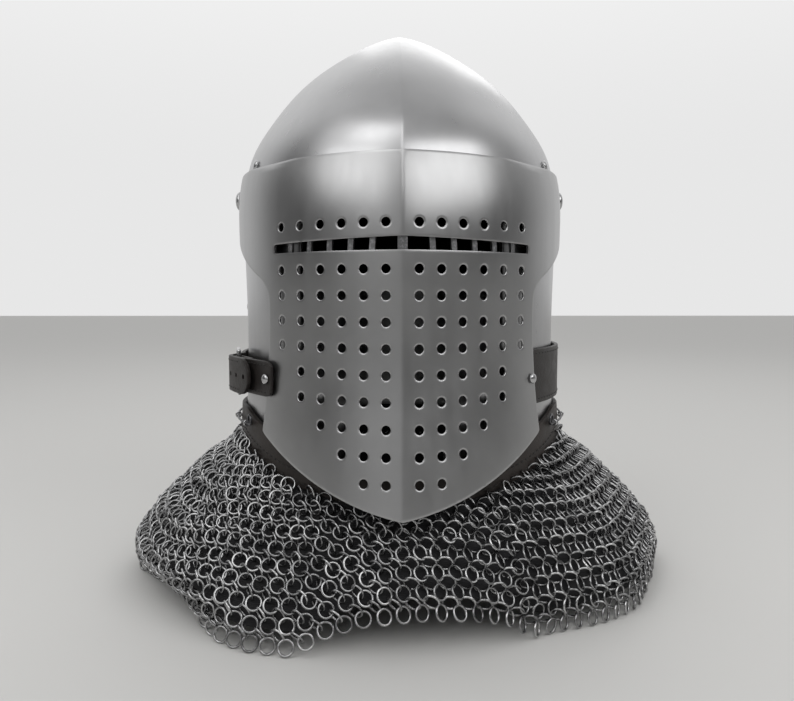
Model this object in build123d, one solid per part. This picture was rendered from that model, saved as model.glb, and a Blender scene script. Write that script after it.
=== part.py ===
from build123d import *
import math
import os

# A visored steel helm with a leather band and a mail aventail, standing on the hem of its mail.
# Millimetres, +Z up, the visor looks along -Y, the origin is on the ground under the helm's middle.

# Overall sizes
brow_height = 260.0
crown_rise = 101.0
skull_half_width = 105.6
skull_front = 117.0
skull_back = 118.0
skull_keel = 10.0
apex_setback = 8.0
plate = 1.6
form_base = 56.0
keel_power = 1.5

# Shared fits
halvings = 30
overrun = 20.0
fit_gap = 0.08
soft_gap = 0.5
seat_gap = 0.15

# Skull edges and face opening
nape_edge_height = 89.5
chin_edge_height = 66.0
chin_edge_start = 45.0
face_top_height = 235.0
face_half_width = 57.0
face_cheek_height = 155.0
face_throat_height = 100.0
face_throat_half = 23.0

# Visor
side_gap = 1.5
front_gap = 2.4
visor_bulge = 21.0
visor_keel = 12.0
pivot_drop = 12.0
wing_lobe = 11.0
wing_front_height = 190.0
visor_rear_depth = 81.0
visor_tip_height = 67.0
visor_corner_height = 104.0
visor_corner_half = 83.0
visor_lower_sagitta = 6.0
visor_rear_fillet = 16.0

# Sight slit and breath holes
slit_floor_height = 207.3
slit_height = 7.2
slit_end_height = 5.0
slit_half_width = 73.0
hole_diameter = 5.0
hole_first = 8.8
hole_pitch = 11.9
hole_row_pitch = 14.06
hole_top_row_height = 197.5
hole_brow_row_height = 221.8
holes_in_rows = (6, 6, 6, 6, 5, 5, 4, 3, 2)
holes_in_brow = 6

# Closing strap
strap_height = 135.0
strap_width = 33.0
strap_tail_width = 22.0
strap_thickness = 2.5
strap_rest = 1.8
strap_visor_gap = 1.2

# Aventail
band_width = 23.0
band_thickness = 2.8
mail_thickness = 2.4
mail_lap = 3.5
mail_fold = 3.0
mail_folds = 8
mail_roll = 2.2
mail_roll_pitch = 21.0
mail_roll_bearing = -62.0
mail_roll_width = 26.0
hem_lift = 18.0
hem_lift_half = 60.0
hem_lift_across = 8.0

# Skull form: height share of the wall, then shares of half width, front, back, keel
wall_form_shares = (
    (0.000, 1.020, 1.0, 1.02, 1.0),
    (0.180, 1.002, 1.0, 1.0, 1.0),
    (0.360, 0.984, 1.0, 0.982, 1.0),
    (0.600, 0.982, 1.0, 0.985, 1.0),
    (0.825, 0.993, 1.0, 1.0, 1.0),
    (1.000, 0.971, 0.991, 0.98, 1.0),
)
# Crown form: height share of the crown's rise, the same four shares, then the share of the setback
crown_form_shares = (
    (0.150, 0.928, 0.945, 0.935, 1.0, 0.06),
    (0.345, 0.818, 0.830, 0.825, 0.95, 0.25),
    (0.600, 0.618, 0.625, 0.625, 0.75, 0.55),
    (0.820, 0.345, 0.345, 0.350, 0.45, 0.82),
    (0.930, 0.158, 0.158, 0.160, 0.22, 0.93),
)
# How far the visor stands forward of the skull at the wall's heights, as shares of its bulge
visor_bulge_shares = (1.05, 0.72, 0.43, 0.29, 0.29, 0.0, 0.0)
# Mail form: height share of the mail's top, then shares of the reach at side, front and back
mail_form_shares = (
    (0.00, 1.000, 1.000, 1.000, 1.0),
    (0.08, 1.004, 0.992, 1.000, 1.0),
    (0.18, 1.008, 0.978, 0.994, 1.0),
    (0.30, 0.978, 0.950, 0.975, 0.95),
    (0.42, 0.926, 0.912, 0.950, 0.85),
    (0.53, 0.872, 0.878, 0.925, 0.7),
    (0.64, 0.808, 0.832, 0.895, 0.5),
    (0.75, 0.742, 0.813, 0.865, 0.3),
)
mail_side = 174.0
mail_front = 151.3
mail_back = 148.0
# Where the mail leaves its plain form: bearing from the front and its spread in degrees, reach out,
# and the height and its spread
mail_swells = (
    (-27.0, 15.0, 13.0, 0.0, 42.0),
    (-68.0, 17.0, 8.0, 32.0, 40.0),
    (-54.0, 17.0, -22.0, 0.0, 15.0),
    (33.0, 13.0, -6.0, 0.0, 30.0),
)


def wall_levels():
    """Sections of the skull's wall, each height, half width, front, back, keel and setback."""
    rise = brow_height - form_base
    levels = []
    for height, width, front, back, keel in wall_form_shares:
        levels.append((form_base + height * rise, width * skull_half_width, front * skull_front,
                       back * skull_back, keel * skull_keel, 0.0))
    return levels


def crown_levels():
    """Sections of the crown above the brow, up to but without the apex."""
    levels = []
    for height, width, front, back, keel, setback in crown_form_shares:
        levels.append((brow_height + height * crown_rise, width * skull_half_width, front * skull_front,
                       back * skull_back, keel * skull_keel, setback * apex_setback))
    return levels


def pushed_levels(levels, tip, out):
    """The levels of a shell that lies out beyond the skull, or within it where out is negative."""
    pushed = []
    for index, (height, width, front, back, keel, setback) in enumerate(levels):
        below = levels[max(index - 1, 0)]
        above = levels[index + 1] if index + 1 < len(levels) else tip
        rise = above[0] - below[0]
        taper = below[1] - above[1]
        slant = math.hypot(rise, taper)
        level_out = out * rise / slant
        pushed.append((height + out * taper / slant, width + level_out, front + level_out,
                       back + level_out, keel, setback))
    return pushed


def ring_point(level, turn, out=0.0):
    """Point of a section at an angle from the ridge, pushed out square to the section."""
    height, width, front, back, keel, setback = level
    across = math.sin(turn)
    along = math.cos(turn)
    if turn <= math.pi / 2:
        y = -((front - keel) * along + keel * (1 - across) ** keel_power)
        slope_y = (front - keel) * across
        slope_y += keel_power * keel * (1 - across) ** (keel_power - 1) * along
    else:
        y = -back * along
        slope_y = back * across
    slope_x = width * along
    length = math.hypot(slope_x, slope_y)
    return Vector(width * across + out * slope_y / length, y + setback - out * slope_x / length, height)


def mirrored(point):
    """The same point on the helm's other side."""
    return Vector(-point.X, point.Y, point.Z)


def half_curve(level, last_turn, points):
    """Section curve of the right half, from the ridge to the last turn."""
    turns = [last_turn * index / (points - 1) for index in range(points)]
    return [ring_point(level, turn) for turn in turns]


def full_section(level):
    """Whole section of the skull as a face."""
    curve = half_curve(level, math.pi, 9)
    left = Spline(*[mirrored(point) for point in curve])
    return Face(Wire([Spline(*curve), left]))


def skull_form(out):
    """Solid of the skull's form pushed out, up to the apex."""
    walls = wall_levels() + crown_levels()
    tip = (brow_height + crown_rise, 0.0)
    levels = pushed_levels(walls, tip, out)
    rise = tip[0] - walls[-1][0]
    slant = math.hypot(rise, walls[-1][1])
    apex = Vertex(0, apex_setback, tip[0] + out * slant / walls[-1][1])
    point = loft([full_section(levels[-1]), apex], ruled=True)
    return loft([full_section(level) for level in levels]) + point


def visor_levels(out):
    """Sections of the visor's face, each its plate and gap beyond the skull."""
    levels = []
    for level, share in zip(wall_levels() + crown_levels()[:1], visor_bulge_shares):
        height, width, front, back, keel, setback = level
        levels.append((height, width + side_gap + plate + out,
                       front + front_gap + plate + share * visor_bulge + out,
                       back + side_gap + plate + out, visor_keel, 0.0))
    return levels


def visor_section(level, reach):
    """Open fronted section of the visor, closed behind by a straight line."""
    last_turn = math.pi / 2 + math.asin(reach / level[3])
    curve = half_curve(level, last_turn, 7)
    left = Spline(*[mirrored(point) for point in curve])
    rear = Line(curve[-1], mirrored(curve[-1]))
    return Face(Wire([Spline(*curve), rear, left]))


def visor_form(out, reach):
    """Solid behind the visor's outer or inner surface."""
    return loft([visor_section(level, reach) for level in visor_levels(out)])


def rounded_face(points, rounds):
    """Flat outline with some corners rounded, each given by its place and radius."""
    face = make_face(Polyline(*points, close=True))
    for index, radius in rounds:
        corner = face.vertices().sort_by_distance(Vector(*points[index]))[0]
        face = fillet(corner, radius)
    return face


def side_block(points, rounds=()):
    """Block whose outline is drawn from the side, in depth and height."""
    reach = skull_half_width + skull_front
    return extrude(Plane.YZ * rounded_face(points, rounds), amount=reach, both=True)


def front_block(face):
    """Block drawn from the front and run forward from the helm's middle."""
    return extrude(Plane.XZ * face, amount=skull_front + skull_back)


def surface_plane(form, start, direction):
    """Plane on the outside of a form where a line from inside leaves it."""
    hits = form.find_intersection_points(Axis(start, direction))
    point, normal = max(hits, key=lambda hit: (hit[0] - Vector(*start)).dot(Vector(*direction)))
    if normal.dot(Vector(*direction)) < 0:
        normal = -normal
    return Plane(origin=point, z_dir=normal)


def bearing_plane(form, height, bearing):
    """Plane on a form at a height and a bearing in degrees from the ridge, right hand positive."""
    turn = math.radians(bearing)
    return surface_plane(form, (0, 0, height), (math.sin(turn), -math.cos(turn), 0))


def sloped_edge(side_height):
    """Two points of an edge that runs level round the back and drops forward under the chin."""
    drop = chin_edge_height - nape_edge_height
    far = skull_front + overrun
    slope = drop / (skull_front - chin_edge_start)
    return [(-chin_edge_start, side_height), (-far, side_height + slope * (far - chin_edge_start))]


def below_edge(rise):
    """Block of everything below the skull's lower edge, raised by some height."""
    height = nape_edge_height + rise
    far = skull_back + visor_bulge + overrun
    near, tip = sloped_edge(height)
    return side_block([(far, height), near, tip, (tip[0] - far, tip[1]), (tip[0] - far, -overrun),
                       (far, -overrun)])


def face_opening():
    """Block cut from the skull's front for the wearer's face and throat."""
    points = [(-face_half_width, face_top_height), (face_half_width, face_top_height),
              (face_half_width, face_cheek_height), (face_throat_half, face_throat_height),
              (face_throat_half, 0), (-face_throat_half, 0), (-face_throat_half, face_throat_height),
              (-face_half_width, face_cheek_height)]
    rounds = [(0, face_throat_half), (1, face_throat_half), (2, face_throat_half), (7, face_throat_half)]
    return front_block(rounded_face(points, rounds))


# Liner rivets
liner_rivet_rise = 3.0
liner_rivet_height = brow_height + liner_rivet_rise
liner_rivet_bearings = (60.0, 94.0, 122.0, 150.0)
rivet_shank = 1.5
rivet_head = 3.0
rivet_dome = 1.4
rivet_tail_height = 0.8
tail_share = 1.5


def dome_rivet(shank, head, dome, grip):
    """Domed rivet along Z, its head's underside at zero and its peened tail at the grip's depth."""
    ball = (head ** 2 + dome ** 2) / (2 * dome)
    rivet = Pos(0, 0, dome - ball) * Sphere(ball) & Pos(0, 0, dome) * Cylinder(2 * head, 2 * dome)
    rivet += Pos(0, 0, -grip / 2) * Cylinder(shank, grip)
    return rivet + Pos(0, 0, -grip - rivet_tail_height / 2) * Cylinder(shank * tail_share, rivet_tail_height)


def raised(plane, height):
    """The same plane moved along its normal."""
    return plane.offset(height)


def shank_hole(plane, shank):
    """Cutter for a shank's hole through whatever lies near a plane."""
    return raised(plane, -overrun / 2) * Cylinder(shank + fit_gap, 2 * overrun)


def both_sides(shape):
    """The shape and its mirror image on the helm's other side."""
    return [shape, mirror(shape, about=Plane.YZ)]


def liner_rivet_planes(skin):
    """Seats of the right hand liner rivets."""
    return [bearing_plane(skin, liner_rivet_height, bearing) for bearing in liner_rivet_bearings]


def liner_rivets(skin):
    """Domed rivets that hold the liner band, with one at the nape."""
    grip = plate + 2 * soft_gap + liner_band_thickness + seat_gap
    rivet = dome_rivet(rivet_shank, rivet_head, rivet_dome, grip)
    rivets = []
    for plane in liner_rivet_planes(skin):
        rivets += both_sides(raised(plane, seat_gap) * rivet)
    return rivets + [raised(bearing_plane(skin, liner_rivet_height, 180.0), seat_gap) * rivet]


# Visor pivots
pivot_shank = 3.0
pivot_head = 6.5
pivot_dome = 3.2
washer_radius = 4.2
washer_thickness = side_gap - 7 * seat_gap


def pivot_places(skull_skin, visor_skin):
    """Where the hinge axis leaves the skull and the visor, as distances from the middle."""
    height = brow_height - pivot_drop
    inner = surface_plane(skull_skin, (0, 0, height), (1, 0, 0)).origin.X
    outer = surface_plane(visor_skin, (0, 0, height), (1, 0, 0)).origin.X
    return height, inner, outer


def pivot_rivet(places):
    """Right hand pivot, its dome outside the visor and its tail inside the skull."""
    height, inner, outer = places
    stand = 3 * seat_gap
    grip = outer - inner + plate + 3 * stand
    seat = Plane(origin=(outer + stand, 0, height), z_dir=(1, 0, 0))
    return seat * dome_rivet(pivot_shank, pivot_head, pivot_dome, grip)


def pivot_washer(places):
    """Thin washer between the skull and the visor."""
    height, inner, outer = places
    middle = inner + side_gap / 2
    seat = Plane(origin=(middle, 0, height), z_dir=(1, 0, 0))
    return seat * (Cylinder(washer_radius, washer_thickness)
                   - Cylinder(pivot_shank + fit_gap, 2 * washer_thickness))


# Chin straps
chin_height = 176.0
chin_setback = 4.0
chin_width = 20.0
chin_thickness = 2.4
chin_lap = 9.0
chin_end_round = 6.7
chin_buckle_drop = 52.0
chin_long_drop = 128.0
chin_shank = 1.6
chin_head = 4.0
chin_dome = 1.8
chin_hole = 1.6
chin_hole_pitch = 12.0
chin_holes = 5
chin_bar = 1.2
chin_frame_length = 17.0


def chin_seat(skin):
    """Plane on the skull's right side where a chin strap rivet sits."""
    return surface_plane(skin, (0, chin_setback, chin_height), (1, 0, 0))


def chin_inner(skin):
    """Distance from the middle to the outer face of a chin strap."""
    return chin_seat(skin).origin.X - plate - 2 * soft_gap


def chin_rivets(skin):
    """Two domed rivets for the chin straps."""
    seat = Plane(origin=chin_seat(skin).origin + Vector(2 * seat_gap, 0, 0), z_dir=(1, 0, 0))
    grip = plate + 3 * soft_gap + chin_thickness + 2 * seat_gap
    return both_sides(seat * dome_rivet(chin_shank, chin_head, chin_dome, grip))


def chin_strap_blank(skin, drop):
    """Right hand strap that hangs straight inside the skull."""
    length = chin_lap + drop
    middle = chin_inner(skin) - chin_thickness / 2
    strap = Pos(middle, chin_setback, chin_height + chin_lap - length / 2) * Box(chin_thickness,
                                                                               chin_width, length)
    ends = strap.edges().filter_by(Axis.X)
    strap = fillet(ends, chin_end_round)
    return strap - Plane(origin=(middle, chin_setback, chin_height), z_dir=(1, 0, 0)) * Cylinder(
        chin_shank + fit_gap, overrun)


def chin_strap_right(skin):
    """Long strap with a row of holes for the tongue."""
    strap = chin_strap_blank(skin, chin_long_drop)
    middle = chin_inner(skin) - chin_thickness / 2
    for index in range(chin_holes):
        height = chin_height - chin_long_drop + chin_hole_pitch * (index + 1)
        place = Plane(origin=(middle, chin_setback, height), z_dir=(1, 0, 0))
        strap -= place * Cylinder(chin_hole, overrun)
    return strap


def chin_bar_place(skin):
    """Middle of the bar that the chin buckle turns on, on the helm's left side."""
    return Vector(-(chin_inner(skin) - chin_thickness - chin_bar), chin_setback,
                  chin_height - chin_buckle_drop)


def chin_strap_left(skin):
    """Short strap folded round the chin buckle's bar, with a slot for the tongue."""
    bar = chin_bar_place(skin)
    strap = mirror(chin_strap_blank(skin, chin_buckle_drop - chin_thickness), about=Plane.YZ)
    place = Plane(origin=bar, z_dir=(0, 1, 0))
    fold = place * Cylinder(chin_bar + chin_thickness, chin_width)
    back = Pos(bar.X + chin_bar + chin_thickness / 2, bar.Y, bar.Z + chin_lap) * Box(
        chin_thickness, chin_width, 2 * chin_lap)
    over = Pos(bar.X, bar.Y, bar.Z + overrun) * Box(2 * overrun, chin_width + overrun, 2 * overrun)
    strap = strap + (fold - over) + back
    strap += Pos(bar.X - chin_bar - chin_thickness / 2, bar.Y, bar.Z + chin_lap) * Box(
        chin_thickness, chin_width, 2 * chin_lap)
    strap -= place * Cylinder(chin_bar + fit_gap, chin_width + overrun)
    slot = Pos(bar.X, bar.Y, bar.Z) * Box(
        2 * overrun, buckle_tongue_width + 2 * soft_gap, 6 * chin_thickness)
    return strap - slot


# Closing buckle
buckle_bar = 1.4
buckle_bearing = 66.0
buckle_far_bearing = 76.3
buckle_height_half = 13.2
buckle_tongue_width = 3.2
tongue_rod = 1.1
tongue_hub = 1.4
chape_height = 21.0
chape_thickness = 2.0
chape_visor_gap = 1.3
chape_start_bearing = 41.0
chape_return_bearing = 55.0
visor_edge_bearing = 47.0
strap_rivet_bearing = 43.5
chape_rivet_bearing = 43.5
strap_right_bearing = 40.5
strap_tail_bearing = 50.0
strap_lift_start = 77.0
strap_hole = 1.5
strap_holes = 3
strap_hole_first = 63.8
strap_hole_step = 5.5
strap_step = 3.0
strap_taper_start = 120.0
strap_taper_end = 92.0


def strap_level():
    """Skull section at the closing strap's height, straight between its neighbours."""
    walls = wall_levels()
    above = next(index for index, level in enumerate(walls) if level[0] > strap_height)
    low = walls[above - 1]
    high = walls[above]
    share = (strap_height - low[0]) / (high[0] - low[0])
    return tuple(a + share * (b - a) for a, b in zip(low, high))


def visor_strap_level():
    """Visor section at the closing strap's height."""
    levels = visor_levels(0.0)
    above = next(index for index, level in enumerate(levels) if level[0] > strap_height)
    low = levels[above - 1]
    high = levels[above]
    share = (strap_height - low[0]) / (high[0] - low[0])
    return tuple(a + share * (b - a) for a, b in zip(low, high))


def visor_stand(turn):
    """How far the visor's outside stands beyond the skull at the closing strap's height."""
    level = strap_level()
    face = visor_strap_level()
    near = 0.0
    far = skull_half_width
    for halving in range(halvings):
        out = (near + far) / 2
        point = ring_point(level, turn, out)
        across = min(point.X / face[1], 1.0)
        edge = -((face[2] - face[4]) * math.sqrt(1 - across ** 2) + face[4] * (1 - across) ** keel_power)
        if point.Y > edge and point.X < face[1]:
            near = out
        else:
            far = out
    return near


def eased(share):
    """Smooth step from 0 to 1."""
    share = min(max(share, 0.0), 1.0)
    return share * share * (3 - 2 * share)


def bar_out():
    """Distance of the buckle's bar from the skull."""
    return strap_rest + soft_gap + strap_thickness + chape_thickness + buckle_bar


def bar_point(bearing, out):
    """Place on the left side at the strap's height."""
    return mirrored(ring_point(strap_level(), math.radians(bearing), out))


def strap_out(bearing, left):
    """Distance of the closing strap's inner face from the skull along its path."""
    rest = strap_rest
    if left:
        lift = bar_out() + buckle_bar + chape_thickness + soft_gap - rest
        return rest + lift * eased((strap_lift_start - bearing) / (strap_lift_start - buckle_bearing))
    under = math.radians(min(bearing, visor_edge_bearing))
    inside = visor_stand(under) - plate - strap_visor_gap - strap_thickness
    span = buckle_far_bearing - visor_edge_bearing
    return rest + (inside - rest) * eased((buckle_far_bearing - bearing) / span)


def strap_path(out):
    """Points of the closing strap from its right end round the nape to its tail."""
    level = strap_level()
    points = []
    for index in range(int((180.0 - strap_right_bearing) / strap_step) + 1):
        bearing = strap_right_bearing + index * strap_step
        points.append(ring_point(level, math.radians(bearing), strap_out(bearing, False) + out))
    for index in range(int((180.0 - strap_tail_bearing) / strap_step)):
        bearing = 180.0 - (index + 1) * strap_step
        points.append(mirrored(ring_point(level, math.radians(bearing), strap_out(bearing, True) + out)))
    return points


def ribbon(inner, outer, height, width):
    """Strip between two lines of points, standing on edge about a height."""
    near = Spline(*inner)
    far = Spline(*outer)
    face = Face(Wire([near, Line(inner[-1], outer[-1]), far, Line(outer[0], inner[0])]))
    solid = extrude(face, amount=width / 2, dir=(0, 0, 1), both=True)
    return Pos(0, 0, height - inner[0].Z) * solid


def closing_strap(tongue):
    """Leather strap round the nape, narrowed to a tail that passes the buckle."""
    strap = ribbon(strap_path(0.0), strap_path(strap_thickness), strap_height, strap_width)
    reach = skull_half_width + skull_front
    half = strap_width / 2
    slim = strap_tail_width / 2
    start = ring_point(strap_level(), math.radians(strap_taper_start)).Y
    stop = ring_point(strap_level(), math.radians(strap_taper_end)).Y
    upper = make_face(Polyline((start, half), (stop, slim), (-reach, slim), (-reach, 2 * half),
                               (start, 2 * half), close=True))
    middle = Vector(0, 0, strap_height)
    over = extrude(Plane(origin=middle, x_dir=(0, 1, 0), z_dir=(1, 0, 0)) * upper, amount=-reach)
    strap = strap - over - mirror(over, about=Plane(middle, z_dir=(0, 0, 1)))
    strap -= tongue
    for index in range(strap_holes):
        strap -= strap_hole_cutter(strap_hole_first - index * strap_hole_step)
    rivet = visor_rivet_plane(strap_rivet_bearing)
    return strap - shank_hole(rivet, rivet_shank)


def strap_hole_cutter(bearing):
    """Cutter for a tongue hole in the tail."""
    outer = bar_point(bearing, skull_half_width / 2)
    inner = bar_point(bearing, 0.0)
    out = bar_out() + buckle_bar + chape_thickness
    place = Plane(origin=bar_point(bearing, out + strap_thickness), z_dir=outer - inner)
    return place * Cylinder(strap_hole, strap_thickness * 3)


def visor_rivet_plane(bearing):
    """Seat on the visor's outside at the strap's height, on the right side."""
    turn = math.radians(bearing)
    level = strap_level()
    out = visor_stand(turn)
    inner = ring_point(level, turn, 0.0)
    outer = ring_point(level, turn, out)
    inner.Z = strap_height
    outer.Z = strap_height
    return Plane(origin=outer, z_dir=outer - inner)


def strap_rivet_right():
    """Rivet through the visor's right edge and the strap's end."""
    grip = plate + strap_thickness + strap_visor_gap + 4 * seat_gap
    rivet = dome_rivet(rivet_shank, rivet_head, rivet_dome, grip)
    return raised(visor_rivet_plane(strap_rivet_bearing), 2 * seat_gap) * rivet


def chape_outs(bearing):
    """Distance of the chape's outer layer from the skull, over the visor or behind it."""
    over_bar = bar_out() + buckle_bar
    over_visor = visor_stand(math.radians(bearing)) + chape_visor_gap
    share = eased((bearing - visor_edge_bearing) / (buckle_bearing - visor_edge_bearing))
    return over_visor + share * (over_bar - over_visor)


def chape_layer(first, last, outs):
    """One layer of the chape between two bearings."""
    steps = 8
    inner = []
    outer = []
    for index in range(steps + 1):
        bearing = first + (last - first) * index / steps
        inner.append(bar_point(bearing, outs(bearing)))
        outer.append(bar_point(bearing, outs(bearing) + chape_thickness))
    return ribbon(inner, outer, strap_height, chape_height)


def buckle_plane():
    """Plane square to the bar, its X towards the frame's far bar."""
    bar = bar_point(buckle_bearing, bar_out())
    far = bar_point(buckle_far_bearing, strap_rest + strap_thickness + buckle_bar + soft_gap)
    bar.Z = strap_height
    far.Z = strap_height
    return Plane(origin=bar, x_dir=far - bar, z_dir=(0, 0, 1)), (far - bar).length


def bar_seat():
    """Plane at the bar, its X back along the skull."""
    bar = bar_point(buckle_bearing, bar_out())
    out = bar_point(buckle_bearing, 2 * bar_out()) - bar
    bar.Z = strap_height
    back = Vector(out.Y, -out.X, 0)
    return Plane(origin=bar, x_dir=back if back.Y > 0 else -back, z_dir=(0, 0, 1))


def buckle_chape():
    """Leather chape, riveted on the visor and folded round the buckle's bar."""
    place, length = buckle_plane()
    bar_gap = bar_out() - buckle_bar - chape_thickness
    outer = chape_layer(chape_start_bearing, buckle_bearing, chape_outs)
    inner = chape_layer(chape_return_bearing, buckle_bearing, lambda bearing: bar_gap)
    fold = Cylinder(buckle_bar + chape_thickness, chape_height)
    fold -= Pos(-overrun, 0, 0) * Box(2 * overrun, 2 * overrun, 2 * chape_height)
    chape = outer + inner + bar_seat() * fold
    chape -= place * Cylinder(buckle_bar + fit_gap, chape_height + overrun)
    hub = buckle_bar + chape_thickness
    slot = Pos(hub, 0, 0) * Box(6 * hub, overrun, buckle_tongue_width + 2 * soft_gap)
    chape -= place * slot
    rivet = mirrored_plane(visor_rivet_plane(chape_rivet_bearing))
    return chape - shank_hole(rivet, rivet_shank)


def mirrored_plane(plane):
    """The same seat on the helm's left side."""
    return Plane(origin=mirrored(plane.origin), z_dir=mirrored(plane.z_dir))


def chape_rivet():
    """Rivet through the chape and the visor's left edge."""
    grip = plate + chape_thickness + chape_visor_gap + 3 * soft_gap
    seat = raised(mirrored_plane(visor_rivet_plane(chape_rivet_bearing)),
                  chape_visor_gap + chape_thickness + 2 * seat_gap)
    return seat * dome_rivet(rivet_shank, rivet_head, rivet_dome, grip)


def wire_frame(length, half, radius):
    """Rectangle of round wire, one bar on the local Z axis and the rest towards local X."""
    frame = Cylinder(radius, 2 * half)
    frame += Pos(length, 0, 0) * Cylinder(radius, 2 * half)
    for height in (-half, half):
        frame += Pos(length / 2, 0, height) * Rot(0, 90, 0) * Cylinder(radius, length)
        frame += Pos(0, 0, height) * Sphere(radius)
        frame += Pos(length, 0, height) * Sphere(radius)
    return frame


def tongue_rod_solid(length, far_bar, radius, side):
    """Straight rod from the hub to beyond the frame's far bar."""
    start = Vector(buckle_bar, side * (far_bar + radius) / 2, 0)
    end = Vector(length + 2 * far_bar, side * (far_bar + radius + 2 * fit_gap), 0)
    place = Plane(origin=(start + end) / 2, z_dir=end - start)
    return place * Cylinder(radius, (end - start).length)


def tongue_solid(length, bar, side):
    """Tongue with a hub that turns on the bar."""
    tongue = Cylinder(bar + tongue_hub, buckle_tongue_width)
    tongue += tongue_rod_solid(length, bar, tongue_rod, side)
    return tongue - Cylinder(bar + fit_gap, 2 * buckle_tongue_width)


def buckle_frame():
    """Wire frame of the closing buckle."""
    place, length = buckle_plane()
    return place * wire_frame(length, buckle_height_half, buckle_bar)


def buckle_tongue():
    """Tongue of the closing buckle, lying on the frame's far bar."""
    place, length = buckle_plane()
    return place * tongue_solid(length, buckle_bar, buckle_side())


def buckle_side():
    """Which side of the frame's plane faces outwards."""
    place, length = buckle_plane()
    return 1.0 if place.y_dir.X < 0 else -1.0


def tongue_clearance():
    """Space that the tongue needs through the strap's tail."""
    place, length = buckle_plane()
    return place * tongue_rod_solid(length, buckle_bar, tongue_rod + 2 * soft_gap, buckle_side())


def chin_buckle_plane(skin):
    """Plane square to the chin buckle's bar, its X downwards."""
    return Plane(origin=chin_bar_place(skin), x_dir=(0, 0, -1), z_dir=(0, 1, 0))


def chin_buckle_frame(skin):
    """Wire frame of the chin buckle."""
    half = chin_width / 2 + chin_bar + 3 * soft_gap
    return chin_buckle_plane(skin) * wire_frame(chin_frame_length, half, chin_bar)


def chin_buckle_tongue(skin):
    """Tongue of the chin buckle, on the side that faces the wearer."""
    place = chin_buckle_plane(skin)
    side = 1.0 if place.y_dir.X > 0 else -1.0
    return place * tongue_solid(chin_frame_length, chin_bar, side)


# Nape keeper
keeper_width = 14.0
keeper_foot = 10.0
keeper_thickness = 2.0


def nape_plane():
    """Seat on the skull's back at the closing strap's height."""
    point = ring_point(strap_level(), math.pi)
    return Vector(0, point.Y, strap_height)


def nape_keeper():
    """Leather loop over the closing strap, riveted above it and lipped below it."""
    seat = nape_plane().Y
    near = seat + strap_rest
    bridge = seat + strap_rest + soft_gap + strap_thickness
    inner_half = strap_width / 2 + soft_gap
    outer_half = inner_half + keeper_thickness
    points = [(near, -outer_half), (bridge + keeper_thickness, -outer_half),
              (bridge + keeper_thickness, outer_half), (near + keeper_thickness, outer_half),
              (near + keeper_thickness, outer_half + keeper_foot), (near, outer_half + keeper_foot),
              (near, inner_half), (bridge, inner_half), (bridge, -inner_half), (near, -inner_half)]
    face = make_face(Polyline(*points, close=True))
    keeper = Pos(0, 0, strap_height) * extrude(Plane.YZ * face, amount=keeper_width / 2, both=True)
    return keeper - shank_hole(keeper_rivet_seat(), rivet_shank)


def keeper_rivet_seat():
    """Seat of the keeper's rivet, outside its foot."""
    reach = strap_width / 2 + soft_gap + keeper_thickness + keeper_foot / 2
    depth = nape_plane().Y + strap_rest + keeper_thickness + seat_gap
    return Plane(origin=(0, depth, strap_height + reach), z_dir=(0, 1, 0))


def keeper_rivet():
    """Rivet through the keeper's foot and the skull."""
    grip = plate + keeper_thickness + strap_rest + 2 * soft_gap
    return keeper_rivet_seat() * dome_rivet(rivet_shank, rivet_head, rivet_dome, grip)


# Vervelles and their wire
vervelle_bearings = (60.0, 78.0, 102.0, 124.0, 147.0, 170.0)
vervelle_ring = 1.6
vervelle_wire_radius = 0.6
vervelle_stem = 1.1
lacing_radius = 0.7
lacing_eye = 3.0
lacing_tail = 6.0
lacing_round = 0.45
vervelle_share = 0.62


def vervelle_height():
    """Height of the row of vervelles, at the middle of the band."""
    return nape_edge_height + band_width * vervelle_share


def band_skin():
    """Form of the aventail band's outer face."""
    return skull_form(soft_gap + band_thickness)


def vervelle_planes(skin):
    """Level seats of the vervelles on the band, from the front left round the nape."""
    bearings = [-bearing for bearing in vervelle_bearings] + list(vervelle_bearings[::-1])
    planes = []
    for bearing in bearings:
        seat = bearing_plane(skin, vervelle_height(), bearing)
        level_dir = Vector(seat.z_dir.X, seat.z_dir.Y, 0).normalized()
        planes.append(Plane(origin=seat.origin, x_dir=(0, 0, 1), z_dir=level_dir))
    return planes


def ring_out():
    """Distance of a vervelle's ring centre from the band."""
    return vervelle_ring + vervelle_wire_radius + seat_gap


def vervelles(skin):
    """Small ringed staples through the band and the skull."""
    grip = band_thickness + plate + 3 * soft_gap
    eye = Pos(0, 0, ring_out()) * Rot(90, 0, 0) * Torus(vervelle_ring, vervelle_wire_radius)
    stem = Pos(0, 0, (seat_gap - grip) / 2) * Cylinder(vervelle_stem, grip + seat_gap
                                                       + vervelle_wire_radius)
    burr = Pos(0, 0, -grip - rivet_tail_height / 2) * Cylinder(vervelle_stem * tail_share, rivet_tail_height)
    return [plane * (eye + stem + burr) for plane in vervelle_planes(skin)]


def crossing(first, second):
    """Point where two level tangents meet, each through its own ring."""
    start = first.origin + first.z_dir * ring_out()
    other = second.origin + second.z_dir * ring_out()
    along = Vector(-first.z_dir.Y, first.z_dir.X, 0)
    across = Vector(-second.z_dir.Y, second.z_dir.X, 0)
    turn = along.X * across.Y - along.Y * across.X
    gap = other - start
    share = (gap.X * across.Y - gap.Y * across.X) / turn
    return start + along * share


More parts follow.
